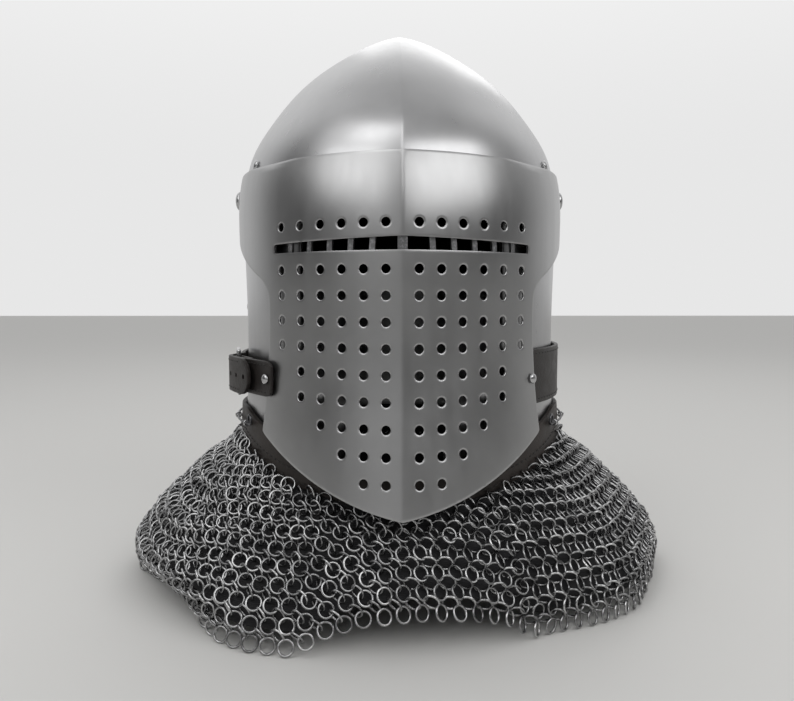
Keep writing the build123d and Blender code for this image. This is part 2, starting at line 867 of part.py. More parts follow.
def lacing_wire(skin):
    """Wire through all the rings, with a curled eye at each front end."""
    planes = vervelle_planes(skin)
    corners = [crossing(first, second) for first, second in zip(planes, planes[1:])]
    ends = []
    for plane, corner in ((planes[0], corners[0]), (planes[-1], corners[-1])):
        ring = plane.origin + plane.z_dir * ring_out()
        ends.append(ring + (ring - corner).normalized() * lacing_tail)
    points = [ends[0]] + corners + [ends[1]]
    radii = []
    for before, here, after in zip(points, points[1:], points[2:]):
        turn = math.radians((here - before).get_angle(after - here))
        run = min((here - before).length, (after - here).length)
        radii.append(lacing_round * run / math.tan(turn / 2))
    path = FilletPolyline(*points, radius=radii)
    start = Plane(origin=points[0], z_dir=points[1] - points[0])
    wire = sweep(start * Circle(lacing_radius), path=path)
    for end, corner in ((points[0], points[1]), (points[-1], points[-2])):
        along = (end - corner).normalized()
        eye = Plane(origin=end + Vector(0, 0, lacing_eye), z_dir=Vector(-along.Y, along.X, 0))
        wire += eye * Torus(lacing_eye, lacing_radius)
    return wire


def aventail_band(skin):
    """Leather band round the skull's lower edge."""
    band = skin - skull_form(soft_gap)
    band -= below_edge(0.0)
    band -= above_band()
    for plane in vervelle_planes(skin):
        band -= shank_hole(plane, vervelle_stem)
    return band


def above_band():
    """Block of everything above the band's upper edge."""
    height = nape_edge_height + band_width
    far = skull_back + visor_bulge + overrun
    over = brow_height + crown_rise + overrun
    near, tip = sloped_edge(height)
    return side_block([(far, height), near, tip, (tip[0] - far, tip[1]), (tip[0] - far, over), (far, over)])


# Liner
liner_thickness = 9.0
liner_low_height = 190.0
liner_band_width = 20.0
liner_band_thickness = 2.0


def liner_face_cut():
    """Front block that keeps the liner and its band clear of the face."""
    half = face_half_width + soft_gap
    points = [(-half, face_top_height), (half, face_top_height), (half, 0), (-half, 0)]
    return front_block(rounded_face(points, [(0, face_throat_half), (1, face_throat_half)]))


def liner_band():
    """Leather strip inside the brow that carries the liner."""
    band = skull_form(-plate - soft_gap) - skull_form(-plate - soft_gap - liner_band_thickness)
    low = liner_rivet_height - liner_band_width / 2
    high = liner_rivet_height + liner_band_width / 2
    size = 4 * skull_back
    keep = Pos(0, 0, (low + high) / 2) * Box(size, size, high - low)
    return band & keep


def liner_band_holed(skin):
    """Liner band with its rivet holes."""
    band = liner_band()
    for plane in liner_rivet_planes(skin):
        band -= both_sides(shank_hole(plane, rivet_shank))
    return band - shank_hole(bearing_plane(skin, liner_rivet_height, 180.0), rivet_shank)


def liner():
    """Quilted cap inside the liner band."""
    outside = plate + 3 * soft_gap + liner_band_thickness + rivet_tail_height
    cap = skull_form(-outside) - skull_form(-outside - liner_thickness)
    size = 4 * skull_back
    keep = Pos(0, 0, liner_low_height + size / 2) * Box(size, size, size)
    return (cap & keep) - liner_face_cut()


# Mail
mail_arcs = 28
mail_sections = 18
mail_neck_share = 0.97
mail_neck_height = 0.87


def smooth_between(rows, height):
    """Row of sizes at a height, smooth through a table whose rows start with their heights."""
    above = next((index for index, row in enumerate(rows) if row[0] >= height), len(rows) - 1)
    above = max(above, 1)
    low, high = rows[above - 1], rows[above]
    before = rows[above - 2] if above > 1 else low
    after = rows[above + 1] if above + 1 < len(rows) else high
    span = high[0] - low[0]
    share = (height - low[0]) / span
    sizes = []
    for index in range(1, len(low)):
        start_slope = (high[index] - before[index]) / (high[0] - before[0])
        end_slope = (after[index] - low[index]) / (after[0] - low[0])
        climb = eased(share)
        sizes.append((1 - climb) * low[index] + climb * high[index]
                     + span * share * (1 - share) * ((1 - share) * start_slope - share * end_slope))
    return sizes


def mail_rows():
    """Plain form of the mail from the ground up to its top: height, side, front, back and fold."""
    top = nape_edge_height + 3 * mail_lap
    seat = soft_gap + band_thickness + 2 * seat_gap + mail_thickness
    neck = wall_levels()[1]
    rows = []
    for height, side, front, back, fold in mail_form_shares:
        rows.append((height * top, side * mail_side, front * mail_front, back * mail_back,
                     fold * mail_fold))
    neck_reach = [neck[1] + seat, neck[2] + seat, neck[3] + seat]
    hem_reach = [mail_side, mail_front, mail_back]
    near_neck = [hem + mail_neck_share * (tight - hem) for hem, tight in zip(hem_reach, neck_reach)]
    rows.append((mail_neck_height * top, *near_neck, 0.0))
    rows.append((top, *neck_reach, 0.0))
    return rows


def mail_swell(height, turn):
    """How far the mail stands out of its plain form at a height and a turn from the front."""
    bearing = math.degrees(math.remainder(turn, 2 * math.pi))
    swell = 0.0
    for middle, width, reach, level, rise in mail_swells:
        swell += reach * math.exp(-((bearing - middle) / width) ** 2 - ((height - level) / rise) ** 2)
    top = nape_edge_height + 3 * mail_lap
    fade = math.exp(-((bearing - mail_roll_bearing) / mail_roll_width) ** 2) * math.sin(math.pi * height / top)
    return swell + mail_roll * fade * math.sin(2 * math.pi * height / mail_roll_pitch)


def mail_point(row, share, inset):
    """Point of a mail section at a share of a full turn from the front."""
    height, side, front, back, fold = row
    turn = 2 * math.pi * share
    across = math.sin(turn)
    along = math.cos(turn)
    out = fold * math.cos(mail_folds * turn) + mail_swell(height, turn) - inset
    if along < 0:
        return Vector((side + out) * across, -(back + out) * along, height)
    keel = skull_keel * eased(height / nape_edge_height)
    ahead = (front + out - keel) * along + keel * (1 - abs(across)) ** keel_power
    return Vector((side + out) * across, -ahead, height)


def mail_section(row, inset):
    """Closed section of the mail, drawn as arcs."""
    arcs = []
    for index in range(mail_arcs):
        ends = [mail_point(row, (index + step) / mail_arcs, inset) for step in (0, 0.5, 1)]
        arcs.append(ThreePointArc(*ends))
    return Face(Wire(arcs))


def aventail_mail():
    """Mail skirt as a folded shell, cut to the band's slope above and lifted at the front hem."""
    rows = mail_rows()
    top = rows[-1][0]
    heights = [top * index / mail_sections for index in range(mail_sections + 1)]
    levels = [(height, *smooth_between(rows, height)) for height in heights]
    outer = loft([mail_section(level, 0.0) for level in levels])
    inner = loft([mail_section(level, mail_thickness) for level in levels])
    mail = outer - inner
    height = nape_edge_height + mail_lap
    far = 2 * mail_side
    near, tip = sloped_edge(height)
    mail -= side_block([(far, height), near, tip, (tip[0] - far, tip[1]), (tip[0] - far, brow_height),
                        (far, brow_height)])
    left = hem_lift_across - hem_lift_half
    right = hem_lift_across + hem_lift_half
    arch = make_face(ThreePointArc((left, 0), (hem_lift_across, hem_lift), (right, 0))
                     + Polyline((right, 0), (right, -overrun), (left, -overrun), (left, 0)))
    return mail - extrude(Plane.XZ * arch, amount=far)


# Visor details
bar_width = 3.2
bar_middle_width = 5.2
bar_thickness = 1.6
bar_shift = 4.8
bar_end_gap = 1.0
bar_below_slit = 6.0
bar_low_height = slit_floor_height - bar_below_slit
bar_high_height = hole_brow_row_height - hole_diameter / 2 - bar_end_gap
bar_lean = 4.0


def hole_places():
    """Breath hole places on the right side, as distance across and height."""
    places = [(hole_first + hole_pitch * column, hole_brow_row_height) for column in range(holes_in_brow)]
    for row, count in enumerate(holes_in_rows):
        height = hole_top_row_height - hole_row_pitch * row
        places += [(hole_first + hole_pitch * column, height) for column in range(count)]
    return places


def hole_cutters(skin):
    """All breath hole cutters, square to the visor's face."""
    tool = Cylinder(hole_diameter / 2, 6 * plate)
    cutters = []
    for across, height in hole_places():
        seat = surface_plane(skin, (across, 0, height), (0, -1, 0))
        cutters += both_sides(seat * tool)
    return cutters


def slit_block():
    """Block cut for the sight slit."""
    end = slit_floor_height + slit_end_height
    points = [(-slit_half_width, slit_floor_height), (slit_half_width, slit_floor_height),
              (slit_half_width, end), (0, slit_floor_height + slit_height), (-slit_half_width, end)]
    corner = slit_end_height / 3
    return front_block(rounded_face(points, [(0, corner), (1, corner), (2, corner), (4, corner)]))


def visor_side_block():
    """Side view of the visor, with its arms tapering to rounded lobes at the pivots."""
    far = skull_front + 3 * visor_bulge
    lower = brow_height - pivot_drop - wing_lobe
    points = [(wing_lobe, brow_height), (wing_lobe, lower), (-visor_rear_depth, wing_front_height),
              (-visor_rear_depth, 0), (-far, 0), (-far, brow_height)]
    rounds = [(0, wing_lobe - fit_gap), (1, wing_lobe - soft_gap), (2, visor_rear_fillet)]
    return side_block(points, rounds)


def visor_front_block():
    """Front view of the visor above its two lower arcs."""
    far = skull_half_width + overrun
    tip = (0, visor_tip_height)
    right = (visor_corner_half, visor_corner_height)
    left = (-visor_corner_half, visor_corner_height)
    middle = (right[0] / 2, (tip[1] + right[1]) / 2)
    length = math.hypot(right[0], right[1] - tip[1])
    sag = (middle[0] + visor_lower_sagitta * (right[1] - tip[1]) / length,
           middle[1] - visor_lower_sagitta * right[0] / length)
    lines = ThreePointArc(tip, sag, right)
    lines += Polyline(right, (far, right[1]), (far, brow_height + overrun), (-far, brow_height + overrun),
                      (-far, left[1]), left)
    lines += ThreePointArc(left, (-sag[0], sag[1]), tip)
    return extrude(Plane.XZ * make_face(lines), amount=skull_front + 3 * visor_bulge, both=True)


def visor_plate(skin, places):
    """The visor, one keeled plate."""
    reach = wing_lobe + plate
    shell = skin - visor_form(-plate, reach + overrun)
    shell = shell & visor_side_block() & visor_front_block()
    height, inner, outer = places
    pivot = Plane(origin=(0, 0, height), z_dir=(1, 0, 0)) * Cylinder(pivot_shank + fit_gap, 3 * outer)
    cuts = [slit_block(), pivot, shank_hole(visor_rivet_plane(strap_rivet_bearing), rivet_shank),
            shank_hole(mirrored_plane(visor_rivet_plane(chape_rivet_bearing)), rivet_shank)]
    return shell - cuts - hole_cutters(skin)


def sight_bars(skin):
    """Flat bars fixed inside the visor across the slit."""
    bars = []
    middle = (bar_low_height + bar_high_height) / 2
    length = bar_high_height - bar_low_height
    for index in range(holes_in_brow):
        across = index * hole_pitch + (bar_shift if index else 0)
        seat = surface_plane(skin, (across, 0, middle), (0, -1, 0))
        width = bar_width if index else bar_middle_width
        flat = Vector(seat.z_dir.X if index else 0, seat.z_dir.Y, 0).normalized()
        gap = plate + 5 * seat_gap + bar_thickness / 2
        place = Plane(origin=seat.origin - flat * gap, x_dir=(-flat.Y, flat.X, 0), z_dir=flat)
        bar = place * Rot(0, 0, bar_lean if index else 0) * Box(width, length, bar_thickness)
        bars += both_sides(bar) if index else [bar]
    return bars


def skull_plate(skin, places, band_outer):
    """The skull, one raised shell with its edges and holes cut."""
    shell = skin - skull_form(-plate)
    height, inner, outer = places
    cuts = [below_edge(0.0), face_opening(),
            Plane(origin=(0, 0, height), z_dir=(1, 0, 0)) * Cylinder(pivot_shank + fit_gap, 3 * outer)]
    for plane in liner_rivet_planes(skin):
        cuts += both_sides(shank_hole(plane, rivet_shank))
    cuts.append(shank_hole(bearing_plane(skin, liner_rivet_height, 180.0), rivet_shank))
    chin = Plane(origin=(0, chin_setback, chin_height), z_dir=(1, 0, 0))
    cuts.append(chin * Cylinder(chin_shank + fit_gap, 3 * outer))
    cuts.append(shank_hole(keeper_rivet_seat(), rivet_shank))
    cuts += [shank_hole(plane, vervelle_stem) for plane in vervelle_planes(band_outer)]
    return shell - cuts


def parts_table():
    """Every named piece of the helm with its shape."""
    skin = skull_form(0.0)
    face_skin = visor_form(0.0, wing_lobe + plate)
    band_outer = band_skin()
    places = pivot_places(skin, face_skin)
    pivots = both_sides(pivot_rivet(places))
    right_strap = chin_strap_right(skin)
    return {
        "skull": skull_plate(skin, places, band_outer),
        "visor": visor_plate(face_skin, places),
        "sight_bars": sight_bars(face_skin),
        "visor_pivot_right": pivots[0],
        "visor_pivot_left": pivots[1],
        "pivot_washers": both_sides(pivot_washer(places)),
        "liner_rivets": liner_rivets(skin),
        "liner_band": liner_band_holed(skin),
        "liner": liner(),
        "chin_rivets": chin_rivets(skin),
        "chin_strap_right": right_strap,
        "chin_strap_left": chin_strap_left(skin),
        "chin_buckle_frame": chin_buckle_frame(skin),
        "chin_buckle_tongue": chin_buckle_tongue(skin),
        "closing_strap": closing_strap(tongue_clearance()),
        "strap_rivet_right": strap_rivet_right(),
        "buckle_chape": buckle_chape(),
        "chape_rivet": chape_rivet(),
        "buckle_frame": buckle_frame(),
        "buckle_tongue": buckle_tongue(),
        "nape_keeper": nape_keeper(),
        "keeper_rivet": keeper_rivet(),
        "vervelles": vervelles(band_outer),
        "lacing_wire": lacing_wire(band_outer),
        "aventail_band": aventail_band(band_outer),
        "aventail_mail": aventail_mail(),
    }


os.makedirs("parts", exist_ok=True)
for name, shape in parts_table().items():
    solids = shape if isinstance(shape, list) else [shape]
    export_step(Compound(children=[solid for piece in solids for solid in piece.solids()]),
                f"parts/{name}.step")
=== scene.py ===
import bpy
import functools
import math
import random
import numpy as np
from mathutils import Matrix, Vector
from mathutils.geometry import delaunay_2d_cdt


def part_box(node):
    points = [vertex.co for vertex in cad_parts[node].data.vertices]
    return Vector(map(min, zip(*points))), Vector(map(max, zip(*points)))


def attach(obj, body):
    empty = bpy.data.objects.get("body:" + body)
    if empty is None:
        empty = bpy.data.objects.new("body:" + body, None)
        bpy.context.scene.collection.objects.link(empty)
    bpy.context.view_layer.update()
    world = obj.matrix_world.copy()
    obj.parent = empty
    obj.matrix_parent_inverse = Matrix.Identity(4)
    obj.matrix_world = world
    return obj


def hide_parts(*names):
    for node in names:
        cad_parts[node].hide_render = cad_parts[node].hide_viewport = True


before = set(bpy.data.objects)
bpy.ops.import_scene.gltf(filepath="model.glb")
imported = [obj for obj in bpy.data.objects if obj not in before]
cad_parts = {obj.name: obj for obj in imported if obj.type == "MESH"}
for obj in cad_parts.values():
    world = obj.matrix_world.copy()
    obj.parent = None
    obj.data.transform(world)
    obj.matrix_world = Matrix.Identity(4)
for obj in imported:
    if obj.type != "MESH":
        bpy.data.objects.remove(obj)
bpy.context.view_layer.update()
bpy.ops.object.select_all(action="DESELECT")
mm = 0.001

# The forms repeat the part's own section tables, in millimetres.
helm = {
    "brow": 260.0, "rise": 101.0, "halfWidth": 105.6, "front": 117.0, "back": 118.0,
    "keel": 10.0, "keelPower": 1.5, "setback": 8.0, "plate": 1.6, "base": 56.0,
    "napeEdge": 89.5, "chinEdge": 66.0, "edgeTurn": 45.0,
    # height share of the wall, then shares of half width, front, back and keel
    "wall": [(0.0, 1.02, 1.0, 1.02, 1.0), (0.18, 1.002, 1.0, 1.0, 1.0), (0.36, 0.984, 1.0, 0.982, 1.0),
             (0.6, 0.982, 1.0, 0.985, 1.0), (0.825, 0.993, 1.0, 1.0, 1.0), (1.0, 0.971, 0.991, 0.98, 1.0)],
    # height share of the crown, the same shares, then the share of the setback
    "crown": [(0.15, 0.928, 0.945, 0.935, 1.0, 0.06), (0.345, 0.818, 0.83, 0.825, 0.95, 0.25),
              (0.6, 0.618, 0.625, 0.625, 0.75, 0.55), (0.82, 0.345, 0.345, 0.35, 0.45, 0.82),
              (0.93, 0.158, 0.158, 0.16, 0.22, 0.93), (1.0, 0.0, 0.0, 0.0, 0.0, 1.0)],
}


def splineThrough(heights, values):
    # natural cubic through a few heights, one column for each value
    x = np.array(heights)
    y = np.array(values)
    step = np.diff(x)
    count = len(x)
    system = np.eye(count)
    right = np.zeros_like(y)
    for i in range(1, count - 1):
        system[i, i - 1:i + 2] = step[i - 1], 2 * (step[i - 1] + step[i]), step[i]
        right[i] = 6 * ((y[i + 1] - y[i]) / step[i] - (y[i] - y[i - 1]) / step[i - 1])
    bend = np.linalg.solve(system, right)

    def at(height):
        i = int(np.clip(np.searchsorted(x, height) - 1, 0, count - 2))
        a = (x[i + 1] - height) / step[i]
        b = 1 - a
        square = step[i] ** 2 / 6
        return a * y[i] + b * y[i + 1] + ((a ** 3 - a) * bend[i] + (b ** 3 - b) * bend[i + 1]) * square
    return at


def skullTable():
    rows = []
    for height, width, front, back, keel in helm["wall"]:
        rows.append((helm["base"] + height * (helm["brow"] - helm["base"]), width, front, back, keel, 0.0))
    for height, width, front, back, keel, setback in helm["crown"]:
        rows.append((helm["brow"] + height * helm["rise"], width, front, back, keel, setback))
    sizes = np.array([helm["halfWidth"], helm["front"], helm["back"], helm["keel"], helm["setback"]])
    return [row[0] for row in rows], [np.array(row[1:]) * sizes for row in rows]


visor = {
    "sideGap": 1.5, "frontGap": 2.4, "bulge": 21.0, "keel": 12.0,
    "bulgeShares": (1.05, 0.72, 0.43, 0.29, 0.29, 0.0, 0.0),
    "pivotHeight": 248.0, "lobe": 11.0, "wingFront": 190.0,
    "rear": 81.0, "rearRound": 16.0, "tip": 67.0, "cornerHeight": 104.0, "cornerHalf": 83.0, "sagitta": 6.0,
    "slitFloor": 207.3, "slitHeight": 7.2, "slitEnd": 5.0, "slitHalf": 73.0,
    "holeRadius": 2.45, "rimRadius": 2.95, "rimDepth": 0.28,
    "holeFirst": 8.8, "holePitch": 11.9, "rowPitch": 14.06, "topRow": 197.5, "browRow": 221.8,
    "rows": (6, 6, 6, 6, 5, 5, 4, 3, 2), "browHoles": 6,
    # corner rounds, and where the side's outline takes over from the brow's
    "lobeRounds": (10.9, 10.5), "slitRounds": (1.6, 1.6), "browReach": 60.0,
    # the flat in which the plate is laid out has this many millimetres to a radian
    "flatScale": 100, "flatReach": 172.0, "probe": 0.5,
    "grid": 3.0, "edgePitch": 2.5, "browPoints": 24, "lowerPoints": 40, "holeSides": 20, "rimBand": 0.9,
    "edgeLoop": 1.5, "testPoint": 3, "ridge": 0.8, "ridgeSink": 0.1, "nearRidge": 0.01, "edgeRound": 0.22,
    "holeReach": 1.0,
    # grid points nearer than these shares of its pitch to a hole or an edge are left out
    "holeClear": 0.3, "edgeClear": 0.42, "gridStart": 0.7, "tolerance": 1e-5,
}

skullHeights, skullRows = skullTable()
skullAt = splineThrough(skullHeights, skullRows)


def visorTable():
    rows = []
    for row, share in zip(skullRows, visor["bulgeShares"]):
        width, front, back, keel, setback = row
        grow = helm["plate"]
        rows.append(np.array([width + visor["sideGap"] + grow,
                              front + visor["frontGap"] + grow + share * visor["bulge"],
                              back + visor["sideGap"] + grow, visor["keel"], 0.0]))
    return rows


visorAt = splineThrough(skullHeights[:7], visorTable())


def sectionPoint(sizes, turn, height):
    # turn is measured from the ridge, positive to the right
    width, front, back, keel, setback = sizes
    across = abs(math.sin(turn))
    along = math.cos(turn)
    if abs(turn) <= math.pi / 2:
        y = -((front - keel) * along + keel * (1 - across) ** helm["keelPower"])
    else:
        y = -back * along
    return Vector((math.copysign(width * across, math.sin(turn)), y + setback, height))


def formPoint(formAt, turn, height):
    return sectionPoint(formAt(height), turn, height)


def formNormal(formAt, turn, height, reach=0.4):
    turnStep = reach / 100
    along = formPoint(formAt, turn + turnStep, height) - formPoint(formAt, turn - turnStep, height)
    up = formPoint(formAt, turn, height + reach) - formPoint(formAt, turn, height - reach)
    return along.cross(up).normalized()


def outFrom(formAt, turn, height, out):
    return formPoint(formAt, turn, height) + formNormal(formAt, turn, height) * out


def turnAtDepth(formAt, depth, height):
    # the right hand turn at which a section passes a depth, found by halving
    near, far = 0.0, math.pi
    for step in range(40):
        middle = (near + far) / 2
        if formPoint(formAt, middle, height).y < depth:
            near = middle
        else:
            far = middle
    return near


def turnAtAcross(formAt, across, height):
    return math.asin(max(-1.0, min(1.0, across / formAt(height)[0])))


def eased(share):
    share = min(max(share, 0.0), 1.0)
    return share * share * (3 - 2 * share)


def roundedPath(points, radii, steps=6):
    # open path with rounded corners, in the flat
    path = [Vector(points[0])]
    for before, here, after, radius in zip(points, points[1:], points[2:], radii):
        here = Vector(here)
        back = (Vector(before) - here).normalized()
        on = (Vector(after) - here).normalized()
        half = back.angle(on) / 2
        run = radius / math.tan(half)
        start, end = here + back * run, here + on * run
        for i in range(steps + 1):
            t = i / steps
            path.append(start * (1 - t) ** 2 + here * (2 * t * (1 - t)) + end * t * t)
    path.append(Vector(points[-1]))
    return path


def spread(path, pitch):
    # the same path with points no further apart than the pitch
    out = []
    for a, b in zip(path, path[1:]):
        count = max(1, int(math.ceil((b - a).length / pitch)))
        out += [a.lerp(b, i / count) for i in range(count)]
    return out + [path[-1]]


class Sock:
    # a socket that takes part in sums
    def __init__(self, tree, link):
        self.tree = tree
        self.link = link

    def math(self, operation, other=None, swap=False):
        node = self.tree.nodes.new("ShaderNodeMath")
        node.operation = operation
        pair = (other, self) if swap else (self, other)
        for socket, value in zip(node.inputs, pair):
            if isinstance(value, Sock):
                self.tree.links.new(value.link, socket)
            elif value is not None:
                socket.default_value = value
        return Sock(self.tree, node.outputs[0])

    def __add__(self, other):
        return self.math("ADD", other)

    def __radd__(self, other):
        return self.math("ADD", other, True)

    def __sub__(self, other):
        return self.math("SUBTRACT", other)

    def __rsub__(self, other):
        return self.math("SUBTRACT", other, True)

    def __mul__(self, other):
        return self.math("MULTIPLY", other)

    def __rmul__(self, other):
        return self.math("MULTIPLY", other, True)

    def __truediv__(self, other):
        return self.math("DIVIDE", other)

    def __rtruediv__(self, other):
        return self.math("DIVIDE", other, True)

    def clamped(self):
        return self.math("MAXIMUM", 0.0).math("MINIMUM", 1.0)


class Finish:
    # one material under construction
    def __init__(self, name, **shader):
        self.material = bpy.data.materials.new(name)
        self.material.use_nodes = True
        self.tree = self.material.node_tree
        self.shader = self.tree.nodes["Principled BSDF"]
        for key, value in shader.items():
            self.set(key, value)

    def set(self, socket, value):
        if isinstance(value, Sock):
            self.tree.links.new(value.link, self.shader.inputs[socket])
        else:
            self.shader.inputs[socket].default_value = value

    def node(self, kind, settings=None, output=0, **inputs):
        made = self.tree.nodes.new("ShaderNode" + kind)
        for key, value in (settings or {}).items():
            if key == "stops":
                ramp = made.color_ramp
                while len(ramp.elements) < len(value):
                    ramp.elements.new(0.5)
                for element, (place, colour) in zip(ramp.elements, value):
                    element.position = place
                    element.color = colour
            else:
                setattr(made, key, value)
        for key, value in inputs.items():
            socket = made.inputs[key]
            if isinstance(value, Sock):
                self.tree.links.new(value.link, socket)
            else:
                socket.default_value = value
        return Sock(self.tree, made.outputs[output])

    def place(self):
        return self.node("TexCoord", output=3)

    def stretched(self, scale):
        return self.node("Mapping", Vector=self.place(), Scale=scale)

    def noise(self, scale, detail, roughness, where=None, distortion=0.0):
        return self.node("TexNoise", Vector=where or self.place(), Scale=scale, Detail=detail,
                         Roughness=roughness, Distortion=distortion)

    def ramp(self, value, stops):
        spots = [(place, (level, level, level, 1.0)) for place, level in stops]
        return self.node("ValToRGB", {"stops": spots}, Fac=value)

    def colours(self, value, stops):
        return self.node("ValToRGB", {"stops": [(p, (*c, 1.0)) for p, c in stops]}, Fac=value)

    def mix(self, factor, a, b):
        made = self.tree.nodes.new("ShaderNodeMix")
        made.data_type = "RGBA"
        for socket, value in ((made.inputs["Factor"], factor), (made.inputs[6], a), (made.inputs[7], b)):
            if isinstance(value, Sock):
                self.tree.links.new(value.link, socket)
            elif isinstance(value, tuple):
                socket.default_value = (*value, 1.0)
            else:
                socket.default_value = value
        return Sock(self.tree, made.outputs[2])

    def bump(self, height, distance, strength):
        self.set("Normal", self.node("Bump", Height=height, Distance=distance, Strength=strength))


satinLook = {
    # scale, detail and roughness of each pattern
    "clouds": (16.0, 4.0, 0.6), "sanding": (220.0, 2.0, 0.6), "wave": (11.0, 1.0, 0.4),
    "scuff": (60.0, 5.0, 0.7), "sandingStretch": (1.0, 1.0, 0.04), "scuffTwist": 1.5,
    "scuffEdges": [(0.62, 0.0), (0.8, 1.0)], "toneEdges": [(0.3, 0.0), (0.7, 1.0)],
    "shade": 0.86, "scuffed": 0.05, "waveDepth": 0.0012, "waveShare": 0.55,
}


def satinSteel(name, colour, low, high, streak):
    # hand finished plate: soft clouds in the polish, long sanding marks and a slow wave in the metal
    look = satinLook
    steel = Finish(name, Metallic=1.0)
    clouds = steel.noise(*look["clouds"])
    sweep = steel.noise(*look["sanding"], steel.stretched(look["sandingStretch"]))
    wave = steel.noise(*look["wave"])
    scuff = steel.ramp(steel.noise(*look["scuff"], distortion=look["scuffTwist"]), look["scuffEdges"])
    tone = steel.ramp(clouds, look["toneEdges"])
    steel.set("Base Color", steel.mix(tone, tuple(c * look["shade"] for c in colour), colour))
    uneven = (high - low) * clouds + streak * (sweep - 0.5) + look["scuffed"] * scuff
    steel.set("Roughness", (low + uneven).clamped())
    steel.bump(wave, look["waveDepth"], look["waveShare"])
    return steel.material


ironLook = {"mottle": (140.0, 4.0, 0.6), "wear": (420.0, 3.0, 0.6), "wearEdges": [(0.48, 0.0), (0.7, 1.0)],
            "wornShare": 0.7, "wornPale": 2.6, "uneven": 0.3, "depth": 0.0001, "depthShare": 0.3}


def darkSteel(name, colour, roughness):
    look = ironLook
    iron = Finish(name, Metallic=1.0)
    mottle = iron.noise(*look["mottle"])
    worn = iron.ramp(iron.noise(*look["wear"]), look["wearEdges"])
    bare = tuple(min(1.0, c * look["wornPale"]) for c in colour)
    iron.set("Base Color", iron.mix(worn * look["wornShare"], colour, bare))
    iron.set("Roughness", (roughness + (mottle - 0.5) * look["uneven"]).clamped())
    iron.bump(mottle, look["depth"], look["depthShare"])
    return iron.material


hideLook = {"grain": 900.0, "creases": (120.0, 5.0, 0.65), "creaseTwist": 0.6, "patches": (30.0, 3.0, 0.5),
            "toneEdges": [(0.38, 0.0), (0.72, 1.0)], "patchTone": 0.6, "creaseTone": 0.4, "pale": 2.0,
            "creaseShine": 0.35, "patchShine": 0.2, "grainDepth": 0.5, "creaseDepth": 0.8,
            "depth": 0.0003, "depthShare": 0.55, "sheen": 0.28}


def oiledLeather(name, colour, shine):
    look = hideLook
    hide = Finish(name)
    hide.set("Specular IOR Level", look["sheen"])
    grain = hide.node("TexVoronoi", {"feature": "F1"}, Vector=hide.place(), Scale=look["grain"])
    creases = hide.noise(*look["creases"], distortion=look["creaseTwist"])
    patches = hide.noise(*look["patches"])
    tone = hide.ramp(patches * look["patchTone"] + creases * look["creaseTone"], look["toneEdges"])
    hide.set("Base Color", hide.mix(tone, colour, tuple(c * look["pale"] for c in colour)))
    uneven = (creases - 0.5) * look["creaseShine"] + (patches - 0.5) * look["patchShine"]
    hide.set("Roughness", (shine + uneven).clamped())
    hide.bump(grain * look["grainDepth"] + creases * look["creaseDepth"], look["depth"], look["depthShare"])
    return hide.material


finishes = {
    "plate": satinSteel("satinPlate", (0.47, 0.47, 0.475), 0.24, 0.36, 0.08),
    "visorPlate": satinSteel("satinVisor", (0.42, 0.42, 0.422), 0.27, 0.38, 0.10),
    "rivet": satinSteel("rivetSteel", (0.50, 0.50, 0.505), 0.18, 0.30, 0.06),
    "iron": darkSteel("blackenedIron", (0.10, 0.10, 0.105), 0.42),
    "bar": darkSteel("sightBarSteel", (0.22, 0.22, 0.225), 0.45),
    "leather": oiledLeather("oiledLeather", (0.022, 0.018, 0.016), 0.5),
    "strap": oiledLeather("strapLeather", (0.017, 0.0145, 0.0135), 0.46),
}


def only(piece):
    bpy.ops.object.select_all(action="DESELECT")
    piece.select_set(True)
    bpy.context.view_layer.objects.active = piece


def applied(piece, kind, **settings):
    only(piece)
    made = piece.modifiers.new(kind.title(), kind)
    for key, value in settings.items():
        setattr(made, key, value)
    bpy.ops.object.modifier_apply(modifier=made.name)
    return piece


# angles in degrees up to which a finish is shaded as one smooth face
smoothUpTo = {"plate": 40.0, "visor": 32.0, "wire": 180.0, "leather": 60.0, "loop": 45.0, "quilt": 70.0}
sharpFrom = 50.0
weld = 0.01


def smoothed(piece, kind):
    only(piece)
    bpy.ops.object.shade_smooth_by_angle(angle=math.radians(smoothUpTo[kind]))
    return piece


def walled(piece, thickness, offset=1.0):
    # thickness in millimetres, outwards at an offset of 1
    return applied(piece, "SOLIDIFY", thickness=thickness * mm, offset=offset)


def edgesRounded(piece, width, segments=3, sharp=sharpFrom):
    return applied(piece, "BEVEL", width=width * mm, segments=segments, limit_method="ANGLE",
                   angle_limit=math.radians(sharp))


def meshPiece(name, points, faces):
    mesh = bpy.data.meshes.new(name)
    mesh.from_pydata([tuple(p) for p in points], [], faces)
    mesh.validate()
    piece = bpy.data.objects.new(name, mesh)
    bpy.context.scene.collection.objects.link(piece)
    return piece


def gridPiece(name, columns, rows, pointAt, wrap=False):
    # a flat grid is added and each of its points is carried to its place on the form
    bpy.ops.object.select_all(action="DESELECT")
    bpy.ops.mesh.primitive_grid_add(x_subdivisions=columns, y_subdivisions=rows, size=2.0)
    piece = bpy.context.object
    piece.name = name
    for vertex in piece.data.vertices:
        vertex.co = pointAt((vertex.co.x + 1) / 2, (vertex.co.y + 1) / 2)
    return merged(piece) if wrap else piece


def merged(piece, distance=weld, outward=False):
    only(piece)
    bpy.ops.object.mode_set(mode="EDIT")
    bpy.ops.mesh.select_all(action="SELECT")
    bpy.ops.mesh.remove_doubles(threshold=distance * mm)
    if outward:
        bpy.ops.mesh.normals_make_consistent(inside=False)
    bpy.ops.object.mode_set(mode="OBJECT")
    return piece


